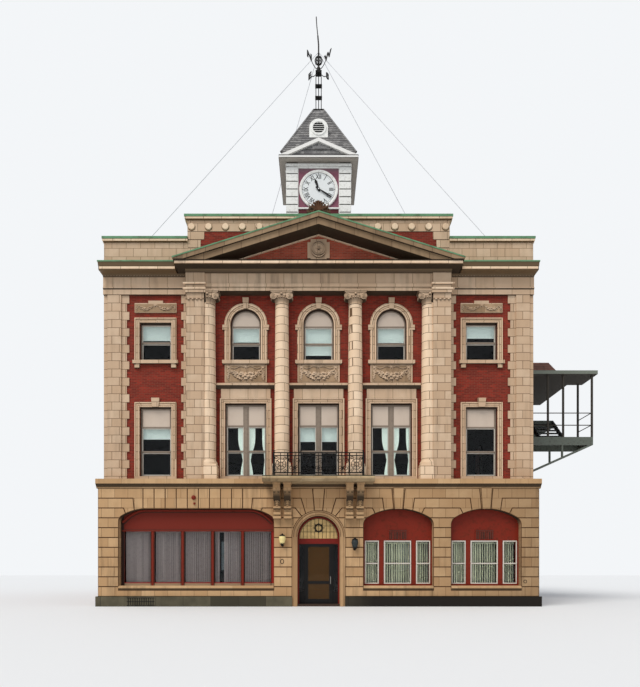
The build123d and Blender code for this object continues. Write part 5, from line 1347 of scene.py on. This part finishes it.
def arch_lights():
    lights = []
    for x in ARCH_X:
        lights.append((x - ARCH_HALF + ARCH_BAR, x - ARCH_MIDDLE - ARCH_BAR))
        lights.append((x - ARCH_MIDDLE, x + ARCH_MIDDLE))
        lights.append((x + ARCH_MIDDLE + ARCH_BAR, x + ARCH_HALF - ARCH_BAR))
    return lights


def add_slats(bm, rng, x0, x1, z0, z1, y, gap=None):
    """Upright slats of a blind, each turned a little, with a rail at the top."""
    count = int((x1 - x0) / SLAT_W)
    for i in range(count):
        x = x0 + (x1 - x0) * (i + 0.5) / count
        if gap and gap[0] < x < gap[1]:
            continue
        turn = Matrix.Rotation(radians(rng.uniform(28, 46)), 4, "Z")
        size = Matrix.Diagonal((SLAT_W * 1.02, 0.003, z1 - z0, 1))
        place = Matrix.Translation((x, y, (z0 + z1) / 2))
        bmesh.ops.create_cube(bm, size=1, matrix=place @ turn @ size)
    add_box(bm, x0, x1, y - 0.03, y + 0.03, z1, z1 + 0.05)


def upright_blinds():
    rng = random.Random(SLAT_SEED)
    bm = bmesh.new()
    for i, (x0, x1) in enumerate(shop_lights()):
        gap = (x0 + 0.15, x0 + 0.38) if i == 3 else None
        add_slats(bm, rng, x0, x1, GROUND_SILL + 0.05, SHOP_HEAD - 0.04, GROUND_FRONT + 0.24, gap)
    finish(bm, "shop_blinds", None, slat_grey)
    bm = bmesh.new()
    for x0, x1 in arch_lights():
        add_slats(bm, rng, x0, x1, GROUND_SILL + 0.1, ARCH_HEAD - 0.08, GROUND_FRONT + 0.24)
    finish(bm, "arched_window_blinds", None, slat_cream)


@piece_of("arched_sashes", "taupe_paint", sash_paint, edge=0.006)
def arched_sashes(bm):
    """Cream sashes in the six arched lights."""
    meeting = (GROUND_SILL + ARCH_HEAD) / 2
    for x in ARCH_X:
        for x0, x1 in ARCH_SASHES:
            add_sash(bm, x + x0, x + x1, GROUND_SILL + 0.07, meeting + 0.02, GROUND_FRONT - 0.014, 0.045)
            add_sash(bm, x + x0, x + x1, meeting - 0.02, ARCH_HEAD + 0.03, GROUND_FRONT - 0.03, 0.045)


@piece_of("arched_mullions", "red_paint", red_paint, edge=0.004)
def arched_mullions(bm):
    """Wide red boards between the sashes of the arched windows."""
    sides = (GROUND_FRONT - 0.02, GROUND_FRONT + 0.01, GROUND_SILL + 0.05, ARCH_HEAD + 0.02)
    for x in ARCH_X:
        add_pair(bm, *MULLION, *sides, middle=x)


def panel_grilles():
    """Louvred grilles in the arched head panels: dark recess as painted shade, rusty bars and a bar over
    them.
    """
    bars = bmesh.new()
    back = bmesh.new()
    y = GROUND_FRONT - 0.012
    for x in ARCH_X:
        add_box(back, x - 0.33, x + 0.37, y, GROUND_FRONT, *GRILLE_Z)
        for i in range(9):
            add_about(bars, x - 0.3 + 0.08 * i, 0.022, y - 0.03, y, 2.72, 3.05)
        add_box(bars, x - 0.34, x + 0.38, y - 0.04, y, 3.05, 3.08)
    finish(back, "grille_recess", "red_paint", reveal_painted_shadow)
    finish(bars, "grille_bars", "red_paint", grille_rust)


@piece_of("arch_grooves", "golden_stone", groove_painted_shadow, smooth=40)
def arch_grooves(bm):
    """Dark quirks of the entrance arch, coloured as painted shadow."""
    y = low("entrance_surround").y - 0.002
    lines = [arch_line(0, half, 0.45, FAN_SPRING, y) for half in (0.89, 1.0)]
    add_bars(bm, [line[1:-1] for line in lines], 0.012, 1)


def head_curve(drop, y):
    """Line that follows the head of the shop window, a little below it."""
    mid = (SHOP_X[0] + SHOP_X[1]) / 2
    half = (SHOP_X[1] - SHOP_X[0]) / 2 - drop
    line = []
    for i in range(41):
        x = -half + half * i / 20
        fall = max(0.0, (abs(x) - half * SHOP_LEVEL) / (half * SHOP_ENDS))
        line.append((mid + x, y, SHOP_CROWN - drop - SHOP_FALL * fall * fall))
    return line


@piece_of("shop_trim", "red_paint", red_paint, edge=0.01)
def shop_trim(bm):
    """Raised rim round the bare head board and fillets on the mullions."""
    y = GROUND_FRONT - 0.01
    ends = (SHOP_X[0] + 0.05, SHOP_X[1] - 0.05)
    add_box(bm, *ends, y - 0.03, GROUND_FRONT, SHOP_HEAD - 0.02, SHOP_HEAD + 0.03)
    add_bars(bm, [head_curve(0.06, y)], 0.05, 1)
    for i in range(1, SHOP_LIGHTS):
        x = SHOP_X[0] + i * SHOP_STEP + SHOP_BAR / 2
        add_about(bm, x, 0.045, y - 0.015, GROUND_FRONT, GROUND_SILL, SHOP_HEAD - 0.02)


@piece_of("shop_lines", "red_paint", reveal_painted_shadow)
def shop_lines(bm):
    """Dark quirks under the head moulding and over the lights of the shop window, coloured as painted
    shadow.
    """
    y = GROUND_FRONT - 0.005
    add_bars(bm, [head_curve(0.13, y)], 0.016, 1)
    ends = (SHOP_X[0] + 0.05, SHOP_X[1] - 0.05)
    add_box(bm, *ends, y - 0.015, GROUND_FRONT, SHOP_HEAD + 0.03, SHOP_HEAD + 0.055)
    for x0, x1 in shop_lights():
        for x in (x0, x1):
            add_about(bm, x, 0.012, y - 0.012, GROUND_FRONT, GROUND_SILL, SHOP_HEAD - 0.02)


# Balcony ironwork and consoles

RAIL_Y = -1.487
RAIL_FOOT = 5.10
RAIL_TOP = 6.0
RAIL_LOW = 5.21
RAIL_UPPER = RAIL_TOP - 0.13
RAIL_HALF = 1.77
RAIL_POSTS = [-1.72, -1.2, -0.68, -0.13, 0.13, 0.68, 1.2, 1.72]
KNOP_POSTS = (0, 7, 2, 5)
SCROLL_R = 0.013


def scroll(cx, cz, radius, turns, start, y, tight=0.18, steps=22):
    """Flat spiral that winds in from a start angle."""
    points = []
    for i in range(steps + 1):
        t = i / steps
        r = radius * (1 - t) + radius * tight * t
        a = start + turns * 2 * pi * t
        points.append((cx + r * cos(a), y, cz + r * sin(a)))
    return points


def ring_line(cx, cz, r, y, steps=20):
    turn = [2 * pi * i / steps for i in range(steps + 1)]
    return [(cx + r * cos(a), y, cz + r * sin(a)) for a in turn]


def cell_ironwork(x, width, kind):
    """Bars of one panel of the railing, given its middle and width."""
    middle = (RAIL_LOW + RAIL_UPPER) / 2
    y = RAIL_Y
    lines = []
    if kind == "rosette":
        r = 0.2
        lines.append(ring_line(x, middle, r, y))
        lines.append(ring_line(x, middle, r * 0.42, y))
        for i in range(8):
            a = pi * i / 4
            near, far = r * 0.4, r * 0.95
            lines.append([(x + q * cos(a), y, middle + q * sin(a)) for q in (near, far)])
        for side in (-1, 1):
            for up in (-1, 1):
                lines.append(scroll(x + side * 0.17, middle + up * 0.24, 0.07, 1.1, pi * (side > 0), y))
    elif kind == "scroll":
        for side in (-1, 1):
            at = x + side * width * 0.23
            lines.append(scroll(at, middle + 0.15, 0.11, 1.3, -side * pi / 2, y))
            lines.append(scroll(at, middle - 0.15, 0.11, 1.3, side * pi / 2, y))
            lines.append([(x + side * width * 0.02, y, z) for z in (RAIL_LOW, RAIL_UPPER)])
    else:
        lines.append(ring_line(x, middle + 0.1, 0.1, y))
        lines.append([(x, y, z) for z in (RAIL_LOW, RAIL_UPPER)])
        for side in (-1, 1):
            lines.append(scroll(x + side * 0.11, middle - 0.16, 0.09, 1.2, side * pi / 2, y))
    return lines


@piece_of("railing_scrolls", "black_iron", iron, smooth=50)
def railing_scrolls(bm):
    """Scrolls, rosettes, posts and rails of the balcony railing."""
    lines = []
    for a, b in zip(RAIL_POSTS, RAIL_POSTS[1:]):
        kind = {0.52: "rosette", 0.26: "scroll"}.get(round(b - a, 2), "ring")
        if 0.5 < min(abs(a), abs(b)) < 1.0:
            kind = "scroll"
        lines += cell_ironwork((a + b) / 2, b - a, kind)
    add_bars(bm, lines, SCROLL_R, 1)
    for x in RAIL_POSTS:
        add_about(bm, x, 0.016, RAIL_Y - 0.016, RAIL_Y + 0.016, RAIL_FOOT, RAIL_TOP)
    for z in (RAIL_TOP - 0.015, RAIL_UPPER, RAIL_LOW):
        add_about(bm, 0, RAIL_HALF, RAIL_Y - 0.02, RAIL_Y + 0.02, z - 0.016, z + 0.016)
    side_bars = cell_ironwork(0, 0.26, "scroll") + cell_ironwork(0.28, 0.26, "ring")
    front = curve_mesh(side_bars, SCROLL_R, 1)
    for side in (-1, 1):
        turned = front.copy()
        turned.transform(Matrix.Translation((0, -RAIL_Y, 0)))
        turned.transform(Matrix.Rotation(radians(90), 4, "Z"))
        turned.transform(Matrix.Translation((side * (RAIL_HALF - 0.013), -1.25, 0)))
        add_to(bm, turned)
    bpy.data.meshes.remove(front)
    knop = [(0, 0.1), (0.03, 0.07), (0.035, 0.045), (0.015, 0.02), (0.02, 0)]
    for i in KNOP_POSTS:
        add_lathe(bm, knop, (RAIL_POSTS[i], RAIL_Y, RAIL_TOP), steps=10)


CONSOLE_X = (1.23, 1.65)
CONSOLE_HALF = 0.135
# Volutes as (y, z, radius), and the caps and feet as (half width, front, back, foot, head)
CONSOLE_ROLLS = [(-1.03, 4.62, 0.18), (-0.79, 3.93, 0.07)]
CONSOLE_PLATES = [
    (0.155, -1.21, -0.7, 4.81, 4.875),
    (0.145, -0.80, -0.56, 3.66, 3.76),
    (0.155, -0.83, -0.56, 3.50, 3.60),
]


def add_volute(bm, x, y, z, r):
    """Roll across a console with a hollow down its middle and a button at each end."""
    half = CONSOLE_HALF
    end = [(0, half + 0.02), (r * 0.35, half + 0.02), (r * 0.4, half + 0.005), (r * 0.9, half + 0.005)]
    end += [(r, half * 0.85), (r, half * 0.4)]
    profile = [(across, -along) for across, along in end] + [(r * 0.8, 0)] + end[::-1]
    add_lathe(bm, profile, (x, y, z), axis=(1, 0, 0), side=(0, 1, 0), steps=20)


@piece_of("console_carving", "golden_stone", carved_gold, smooth=45)
def console_carving(bm):
    """Volutes, acanthus leaf, caps and feet of each console."""
    for side in (-1, 1):
        for cx in CONSOLE_X:
            x = side * cx
            for y, z, r in CONSOLE_ROLLS:
                add_volute(bm, x, y, z, r)
            for i in range(6):
                z = 4.36 - i * 0.085
                spread = 0.105 - i * 0.012
                y = -0.92 + i * 0.025
                for turn in (-1, 1):
                    add_leaf(bm, x + turn * spread * 0.55, y, z, 0.15 - i * 0.012, turn * 2.5)
                add_ball(bm, x, y - 0.01, z - 0.02, 0.03)
            for plate in CONSOLE_PLATES:
                add_about(bm, x, *plate)


# Entrance

DOOR_Y = -0.19
FAN_R = 0.78
FAN_SPRING = 2.78
FAN_FOOT = 2.75
ROSETTE_Z = FAN_FOOT + 0.42
ROSETTE_R = 0.19


@piece_of("fanlight_leads", None, lead, smooth=45)
def fanlight(bm):
    """Leaded bars of the fanlight with a plain rosette in the middle."""
    y = DOOR_Y + 0.03
    lines = []
    for i in range(-4, 5):
        x = i * 0.155
        top = sqrt(max(FAN_R**2 - x**2, 0.01))
        lines.append([(x, y, FAN_FOOT), (x, y, FAN_SPRING + top)])
    for rise in (0.26, 0.5):
        wide = sqrt(FAN_R**2 - (rise - 0.03) ** 2)
        lines.append([(-wide, y, FAN_FOOT + rise), (wide, y, FAN_FOOT + rise)])
    lines.append(arch_line(0, FAN_R - 0.02, FAN_FOOT, FAN_SPRING, y))
    add_bars(bm, lines, 0.008, 1)
    add_bars(bm, [ring_line(0, ROSETTE_Z, 0.15, y - 0.01)], 0.028, 2)
    for i in range(8):
        a = pi * i / 4
        x, z = ROSETTE_R * cos(a), ROSETTE_Z + ROSETTE_R * sin(a)
        add_leaf(bm, x, y - 0.01, z, 0.17, pi / 2 - a)


def lit_glass(name, colour, strength):
    """Mottled glass with a faint painted glow of its own, as though lit from within."""
    material, tree, shader = new_material(name, 0.2)
    colour = linear(*colour)
    coords = object_coords(tree)
    noise = noise_of(tree, coords, 7.0, 2.0)
    tone = blend_colours(tree, noise, colour, tuple(c * 0.45 for c in colour[:3]) + (1.0,))
    tree.links.new(tone, shader.inputs["Base Color"])
    # Painted light: the glass glows in its own colour
    tree.links.new(tone, shader.inputs["Emission Color"])
    shader.inputs["Emission Strength"].default_value = strength
    return material


amber_glass = lit_glass("amber_panes", (214, 180, 120), 0.25)


@piece_of("fanlight_panes", "window_glass", amber_glass)
def fanlight_panes(bm):
    """Amber panes behind the leads."""
    outline = arch_line(0, FAN_R, FAN_FOOT - 0.02, FAN_SPRING, DOOR_Y + 0.045)
    add_prism(bm, outline, (0, 1, 0), 0.012)


# Clock tower

TOWER_HALF = 1.51
TOWER_MID = 6.11
BAND_STEP = 0.374
BAND_TOP = 20.66
BAND_GAP = 0.045
BAND_LIMIT = 14.3
WALL_TOP = 21.0
CORNER_W = 0.5
MAROON_Z = (18.66, 18.94)
# Heights of the painted shadow lines along the eave
EAVE_SHADOW_LINES = [(21.33, 21.35), (21.21, 21.226)]
DIAL_Z = 19.9
DIAL_RING_R = 0.80
PANEL_Z = (18.65, 20.93)
SILL_H = 0.07
DIAL_FACE = 4.55
NUMERAL_R = 0.60
UPRIGHT = Matrix.Rotation(radians(90), 4, "X")
NUMERALS = ["XII", "I", "II", "III", "IIII", "V", "VI", "VII", "VIII", "IX", "X", "XI"]


def turned_four(mesh):
    """The mesh made for the front of the tower, and its copies on the other three faces."""
    for i in range(4):
        copy = mesh.copy()
        centre = Matrix.Translation((0, TOWER_MID, 0))
        copy.transform(centre @ Matrix.Rotation(radians(90 * i), 4, "Z") @ centre.inverted())
        yield copy


def four_sides(bm, name, slot, material, smooth=None):
    """Finish a piece whose front-face mesh is repeated round the tower."""
    bmesh.ops.recalc_face_normals(bm, faces=bm.faces)
    mesh = mesh_of(bm, name)
    whole = bmesh.new()
    for copy in turned_four(mesh):
        add_to(whole, copy)
    bpy.data.meshes.remove(mesh)
    finish(whole, name, slot, material, smooth=smooth)


@piece_of("banded_boards", "white_trim", white_paint, edge=0.008, four=True)
def banded_boards(bm):
    """Boards of the tower's corners, with dark grooves between them as painted shade."""
    b = TOWER_HALF + 0.065
    a = TOWER_HALF - CORNER_W
    z1 = WALL_TOP
    z0 = BAND_TOP
    front = TOWER_MID - b
    while z0 > BAND_LIMIT:
        add_box(bm, -b, -a, front, front + b - a, z0 + BAND_GAP / 2, z1 - BAND_GAP / 2)
        z1, z0 = z0, z0 - BAND_STEP


@piece_of("tower_trim", "white_trim", white_paint, edge=0.006, four=True)
def tower_trim(bm):
    """Sill, drip row and edge fillets of the front panel, repeated on the four faces."""
    y = TOWER_MID - TOWER_HALF
    inner = TOWER_HALF - CORNER_W
    for out, foot in ((0.07, 18.95), (0.07, 18.58), (0.04, PANEL_Z[1])):
        add_about(bm, 0, inner, y - out, y, foot, foot + SILL_H)
    add_about(bm, 0, TOWER_HALF + 0.06, y - 0.09, y, WALL_TOP, 21.13)
    add_pair(bm, inner - 0.03, inner, y - 0.05, y, *PANEL_Z)
    row_of_blocks(bm, -1.2, 1.2, y - 0.12, y - 0.09, 21.03, 21.09, 0.16, 0.6)


@piece_of("maroon_bands", "tower_panel", maroon, edge=0.01, four=True)
def maroon_bands(bm):
    """Dark red boards under the dials."""
    y = TOWER_MID - TOWER_HALF
    inner = TOWER_HALF - 0.53
    for x0, x1 in [(-inner, -0.52), (-0.46, 0.46), (0.52, inner)]:
        add_box(bm, x0, x1, y - 0.03, y, *MAROON_Z)


@piece_of("dial_rims", "dial_face", white_paint, smooth=50, four=True)
def dial_rim(bm):
    """Moulded rim round each dial."""
    profile = [(0.80, 0.0), (0.81, 0.02), (0.86, 0.03), (0.90, 0.045), (0.935, 0.03), (0.94, -0.04)]
    add_knob(bm, profile, (0, DIAL_FACE, DIAL_Z), steps=64)


@piece_of("dial_marks", "hand_black", black_enamel, four=True)
def dial_marks(bm):
    """Numerals, minute ring and hour dots of the dials."""
    y = DIAL_FACE - 0.003
    add_bars(bm, [ring_line(0, DIAL_Z, DIAL_RING_R, y, 64)], 0.008, 1)
    for i in range(60):
        a = pi * i / 30
        ends = [(q * sin(a), y, DIAL_Z + q * cos(a)) for q in (0.715, 0.775)]
        add_bars(bm, [ends], 0.004 if i % 5 else 0.009, 1)
    for i, numeral in enumerate(NUMERALS):
        a = pi * i / 6
        dot = (DIAL_RING_R * sin(a), y, DIAL_Z + DIAL_RING_R * cos(a))
        add_knob(bm, [(0, 0.006), (0.032, 0.004), (0.032, 0.0)], dot, steps=10)
        mesh = text_mesh(numeral, 0.30, 0.004, 0.002)
        place = Matrix.Translation((0, y, DIAL_Z)) @ Matrix.Rotation(a, 4, "Y")
        place = place @ Matrix.Translation((0, 0, NUMERAL_R)) @ UPRIGHT
        mesh.transform(place @ Matrix.Diagonal((0.72, 1.0, 1.0, 1)))
        add_to(bm, mesh)


EAVE_Z = 21.34
EAVE_HALF = 1.906
GABLE_H = 0.83
SPIRE_TOP_Z = 24.70
SPIRE_TOP_HALF = 0.27
DORMER_FOOT = 1.25
DORMER_H = 0.915
DORMER_HALF = 0.455


def spire_half(z):
    return EAVE_HALF - (EAVE_HALF - SPIRE_TOP_HALF) * (z - EAVE_Z) / (SPIRE_TOP_Z - EAVE_Z)


@piece_of("shingle_courses", "shingles", shingle)
def shingle_courses(bm):
    """Courses of the steep roof, each standing proud of the one above it."""
    z = EAVE_Z + 0.26
    square = Matrix.Rotation(radians(45), 4, "Z")
    while z < SPIRE_TOP_Z - SHINGLE_H:
        top = z + SHINGLE_H
        r1 = (spire_half(z) + 0.022) * sqrt(2)
        r2 = (spire_half(top) + 0.004) * sqrt(2)
        place = Matrix.Translation((0, TOWER_MID, (z + top) / 2)) @ square
        bmesh.ops.create_cone(
            bm, cap_ends=True, segments=4, radius1=r1, radius2=r2, depth=SHINGLE_H, matrix=place
        )
        z = top


@piece_of("hip_caps", "shingles", shingle, smooth=30)
def hip_caps(bm):
    """Caps along the four hips of the steep roof."""
    lines = []
    low_half, top_half = spire_half(EAVE_Z + 0.2), spire_half(SPIRE_TOP_Z)
    for sx in (-1, 1):
        for sy in (-1, 1):
            foot = (sx * low_half, TOWER_MID + sy * low_half, EAVE_Z + 0.2)
            head = (sx * top_half, TOWER_MID + sy * top_half, SPIRE_TOP_Z)
            lines.append([foot, head])
    add_bars(bm, lines, 0.05, 1)


@piece_of("gable_shingles", "shingles", shingle, edge=0.004, four=True)
def gable_shingles(bm):
    """Wavy courses in the recess of each gable, with a small ledge over them."""
    y = TOWER_MID - EAVE_HALF + 0.12
    for i in range(4):
        z = EAVE_Z + 0.02 + i * 0.12
        half = (GABLE_H - 0.2 - (z - EAVE_Z)) / GABLE_H * EAVE_HALF - 0.05
        if half > 0.15:
            row_of_blocks(bm, -half, half, y - 0.02 - 0.006 * (i % 2), y, z, z + 0.12, 0.17, 0.97)
    add_box(bm, -0.62, 0.62, y - 0.06, y, EAVE_Z + 0.30, EAVE_Z + 0.345)


@piece_of("louvre_backs", "black_paint", painted_louvre_shade, four=True)
def louvre_backs(bm):
    """Dark space behind the louvre slats, as painted shade."""
    z = EAVE_Z + DORMER_FOOT + DORMER_H - DORMER_HALF
    face = TOWER_MID - spire_half(EAVE_Z + DORMER_FOOT) - 0.03
    add_knob(bm, [(0, 0.006), (0.28, 0.006), (0.285, 0.0)], (0, face, z), steps=28)


# Gable ornaments

# Middle of the medallion, from its row in the photograph and its distance from the camera
MEDAL_PX = 249.3
MEDAL_AWAY = 24.75
MEDAL_Z = CAMERA_Z + (AXIS_PX[1] - MEDAL_PX) * PX_M * MEDAL_AWAY / BRICK_AWAY
WREATH_R = 0.235
PETAL_R = 0.12


@piece_of("cartouche_carving", "terra_cotta", terra_carved, smooth=45)
def cartouche_carving(bm):
    """Plain wreathed medallion on the shield of the pediment."""
    y, z = low("cartouche").y, MEDAL_Z
    add_bars(bm, [ring_line(0, z, 0.27, y, 32)], 0.028, 2)
    add_bars(bm, [ring_line(0, z, 0.2, y, 32)], 0.012, 1)
    for i in range(16):
        a = pi * i / 8
        add_leaf(bm, WREATH_R * cos(a), y - 0.008, z + WREATH_R * sin(a), 0.07, -a)
    add_knob(bm, [(0, 0.04), (0.05, 0.035), (0.08, 0.0)], (0, y, z), steps=12)
    for i in range(6):
        a = pi * i / 3
        add_leaf(bm, PETAL_R * cos(a), y - 0.01, z + PETAL_R * sin(a), 0.09, pi / 2 - a)


@piece_of("shell_ornament", "bronze", bronze, smooth=50)
def shell_ornament(bm):
    """Ribs of the shell and the scrolls beside it, on the apex."""
    y = low("acroterion").y
    base = high("pediment_cornices").z
    for i in range(9):
        a = radians(-72 + 18 * i)
        foot = (0, y - 0.02, base + 0.06)
        tip = (0.3 * sin(a), y - 0.03, base + 0.08 + 0.34 * cos(a))
        add_bars(bm, [[foot, tip]], 0.028, 1)
        add_ball(bm, tip[0], tip[1], tip[2], 0.045)
    for side in (-1, 1):
        turn = [pi * 0.2 * k for k in range(9)]
        spin = [(side * (0.27 + 0.11 * cos(t)), y - 0.02, base + 0.12 + 0.11 * sin(t)) for t in turn]
        add_bars(bm, [spin], 0.03, 1)
        horn = [(side * 0.3, y, base + 0.2), (side * 0.42, y, base + 0.3), (side * 0.36, y, base + 0.38)]
        add_bars(bm, [horn], 0.02, 1, True)


# Mast and finial

BALL_Z = 27.43
BALL_R = 0.195
ARM_TURN = radians(54)
ARM = [(0.03, 26.95), (0.2, 26.88), (0.4, 26.9), (0.54, 26.97), (0.64, 27.06)]
LETTER_AT = (0.78, 27.15)
NECK = [
    (0.0, 26.84), (0.12, 26.84), (0.07, 26.93), (0.095, 27.03), (0.04, 27.16), (0.05, 27.2), (0.03, 27.24)
]
# Bends of the rod as (x, height over the ball)
ROD = [(0, -0.4), (0, 0.6), (-0.04, 1.08), (-0.09, 1.56), (-0.12, 2.045)]


def add_letter(bm, letter, place):
    """Raised letter of the compass, set in the plane of its arm."""
    mesh = text_mesh(letter, 0.42, 0.02, 0.01)
    mesh.transform(place @ UPRIGHT @ Matrix.Diagonal((1.25, 1.0, 1.0, 1)))
    add_to(bm, mesh)


def mast_top_piece():
    """Turned neck, open ball, bent rod and four curved arms with the compass letters."""
    bm = bmesh.new()
    add_lathe(bm, NECK, (0, TOWER_MID, 0), steps=24)
    collar_z = BALL_Z + BALL_R + 0.17
    collar = [(0.045, collar_z - 0.035), (0.045, collar_z + 0.035), (0.0, collar_z + 0.035)]
    add_lathe(bm, collar, (0, TOWER_MID, 0))
    turn = [pi * k / 12 for k in range(25)]
    across = [(BALL_R * cos(t), BALL_R * sin(t)) for t in turn]
    rings = []
    for a in (pi * i / 6 for i in range(6)):
        rings.append([(r * cos(a), TOWER_MID + r * sin(a), BALL_Z + z) for r, z in across])
    for z in (-0.11, 0.0, 0.11):
        r = sqrt(BALL_R**2 - z**2)
        rings.append([(r * cos(t), TOWER_MID + r * sin(t), BALL_Z + z) for t in turn])
    add_bars(bm, rings, 0.013, 1)
    foot = BALL_Z + BALL_R
    rod = [(x, TOWER_MID, foot + rise) for x, rise in ROD]
    add_bars(bm, [rod[:3]], 0.036, 2)
    add_bars(bm, [rod[2:]], 0.024, 2)
    for letter, x_way, y_way in [("N", -1, -1), ("W", 1, -1), ("E", -1, 1), ("S", 1, 1)]:
        along, away = cos(ARM_TURN) * x_way, sin(ARM_TURN) * y_way
        path = [(along * q, TOWER_MID + away * q, z) for q, z in (*ARM, LETTER_AT)]
        add_bars(bm, [path[:-1]], 0.02, 1, True)
        facing = Matrix.Rotation(ARM_TURN * x_way * y_way, 4, "Z")
        add_letter(bm, letter, Matrix.Translation(path[-1]) @ facing)
    piece = finish(bm, "mast_top", "finial_metal", finial_grey, smooth=40)
    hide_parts("mast_finial")


@piece_of("eave_lines", "white_trim", painted_louvre_shade, four=True)
def eave_lines(bm):
    """Dark lines over and under the fascia of the tower's eave, as painted shadow."""
    y = TOWER_MID - EAVE_HALF
    for z0, z1 in EAVE_SHADOW_LINES:
        add_about(bm, 0, EAVE_HALF, y - 0.012, y, z0, z1)


# Small fittings

ALARM = (-5.0, 4.36)
OVAL = (-1.46, 1.8)
LANTERNS = [(-1.445, 2.655), (1.445, 2.5)]
# Iron of a lantern as (radius, height over its middle)
LANTERN_CAP = [(0, 0.27), (0.015, 0.26), (0.03, 0.23), (0.1, 0.19), (0.125, 0.15), (0, 0.15)]
LANTERN_CUP = [(0, -0.24), (0.03, -0.23), (0.06, -0.19), (0.1, -0.13), (0.1, -0.12)]


@piece_of("alarm_bell", "red_paint", red_paint, smooth=40)
def alarm_bell(bm):
    """Round red bell and a small lamp below it on the stone storey."""
    x, z = ALARM
    y = STONE_FRONT - BLOCK_PROUD
    add_knob(bm, [(0, 0.09), (0.05, 0.085), (0.085, 0.05), (0.09, 0.0)], (x, y, z), steps=20)
    add_knob(bm, [(0, 0.07), (0.04, 0.06), (0.05, 0.0)], (x + 0.03, y, z - 0.24), steps=12)


@piece_of("wall_fittings", "black_iron", iron, smooth=40)
def wall_fittings(bm):
    """Empty oval ring beside the door, ring on the end pier and the basement grille."""
    y = STONE_FRONT - BLOCK_PROUD
    oval = [(OVAL[0] + x * 0.7, y, OVAL[1] + z) for x, _, z in ring_line(0, 0, 0.09, 0)]
    add_bars(bm, [oval], 0.014, 1)
    add_bars(bm, [ring_line(8.27, 1.0, 0.06, y)], 0.012, 1)
    face = low("plinth").y - 0.01
    grille = [[(x, face, 0.06), (x, face, 0.34)] for x in (-7.6 + 0.09 * i for i in range(12))]
    grille += [[(-7.66, face, z), (-6.55, face, z)] for z in (0.05, 0.2, 0.35)]
    add_bars(bm, grille, 0.012, 1)


@piece_of("lantern_caps", "black_iron", iron, smooth=40)
def lantern_caps(bm):
    """Iron caps and cups of the two wall lanterns."""
    y = STONE_FRONT - 0.19
    for x, z in LANTERNS:
        for profile in (LANTERN_CAP, LANTERN_CUP):
            add_lathe(bm, [(r, z + h) for r, h in profile], (x, y, 0), steps=16)
        add_bars(bm, [[(x, y, z - 0.2), (x, y + 0.1, z - 0.28), (x, STONE_FRONT, z - 0.2)]], 0.02, 1, True)
        add_knob(bm, [(0, 0.03), (0.05, 0.025), (0.06, 0.0)], (x, STONE_FRONT - BLOCK_PROUD, z - 0.2))


dress_nodes()
set_camera()
set_light()
set_floor()
rusticated_blocks()
attic_facing()
attic_bosses()
coping_caps()
egg_band()
panel_grounds()
garlands()
end_facings()
carved_capitals()
pier_ornaments()
surround_mouldings()
surround_grooves()
reveal_lines()
frame_mouldings()
upper_sashes()
head_panels()
sill_details()
curtains()
upright_blinds()
arched_sashes()
arched_mullions()
panel_grilles()
arch_grooves()
shop_trim()
railing_scrolls()
console_carving()
fanlight()
fanlight_panes()
banded_boards()
tower_trim()
maroon_bands()
dial_rim()
dial_marks()
shingle_courses()
hip_caps()
gable_shingles()
louvre_backs()
cartouche_carving()
shell_ornament()
mast_top_piece()
eave_lines()
cornice_lines()
coping_lines()
shop_lines()
alarm_bell()
wall_fittings()
lantern_caps()
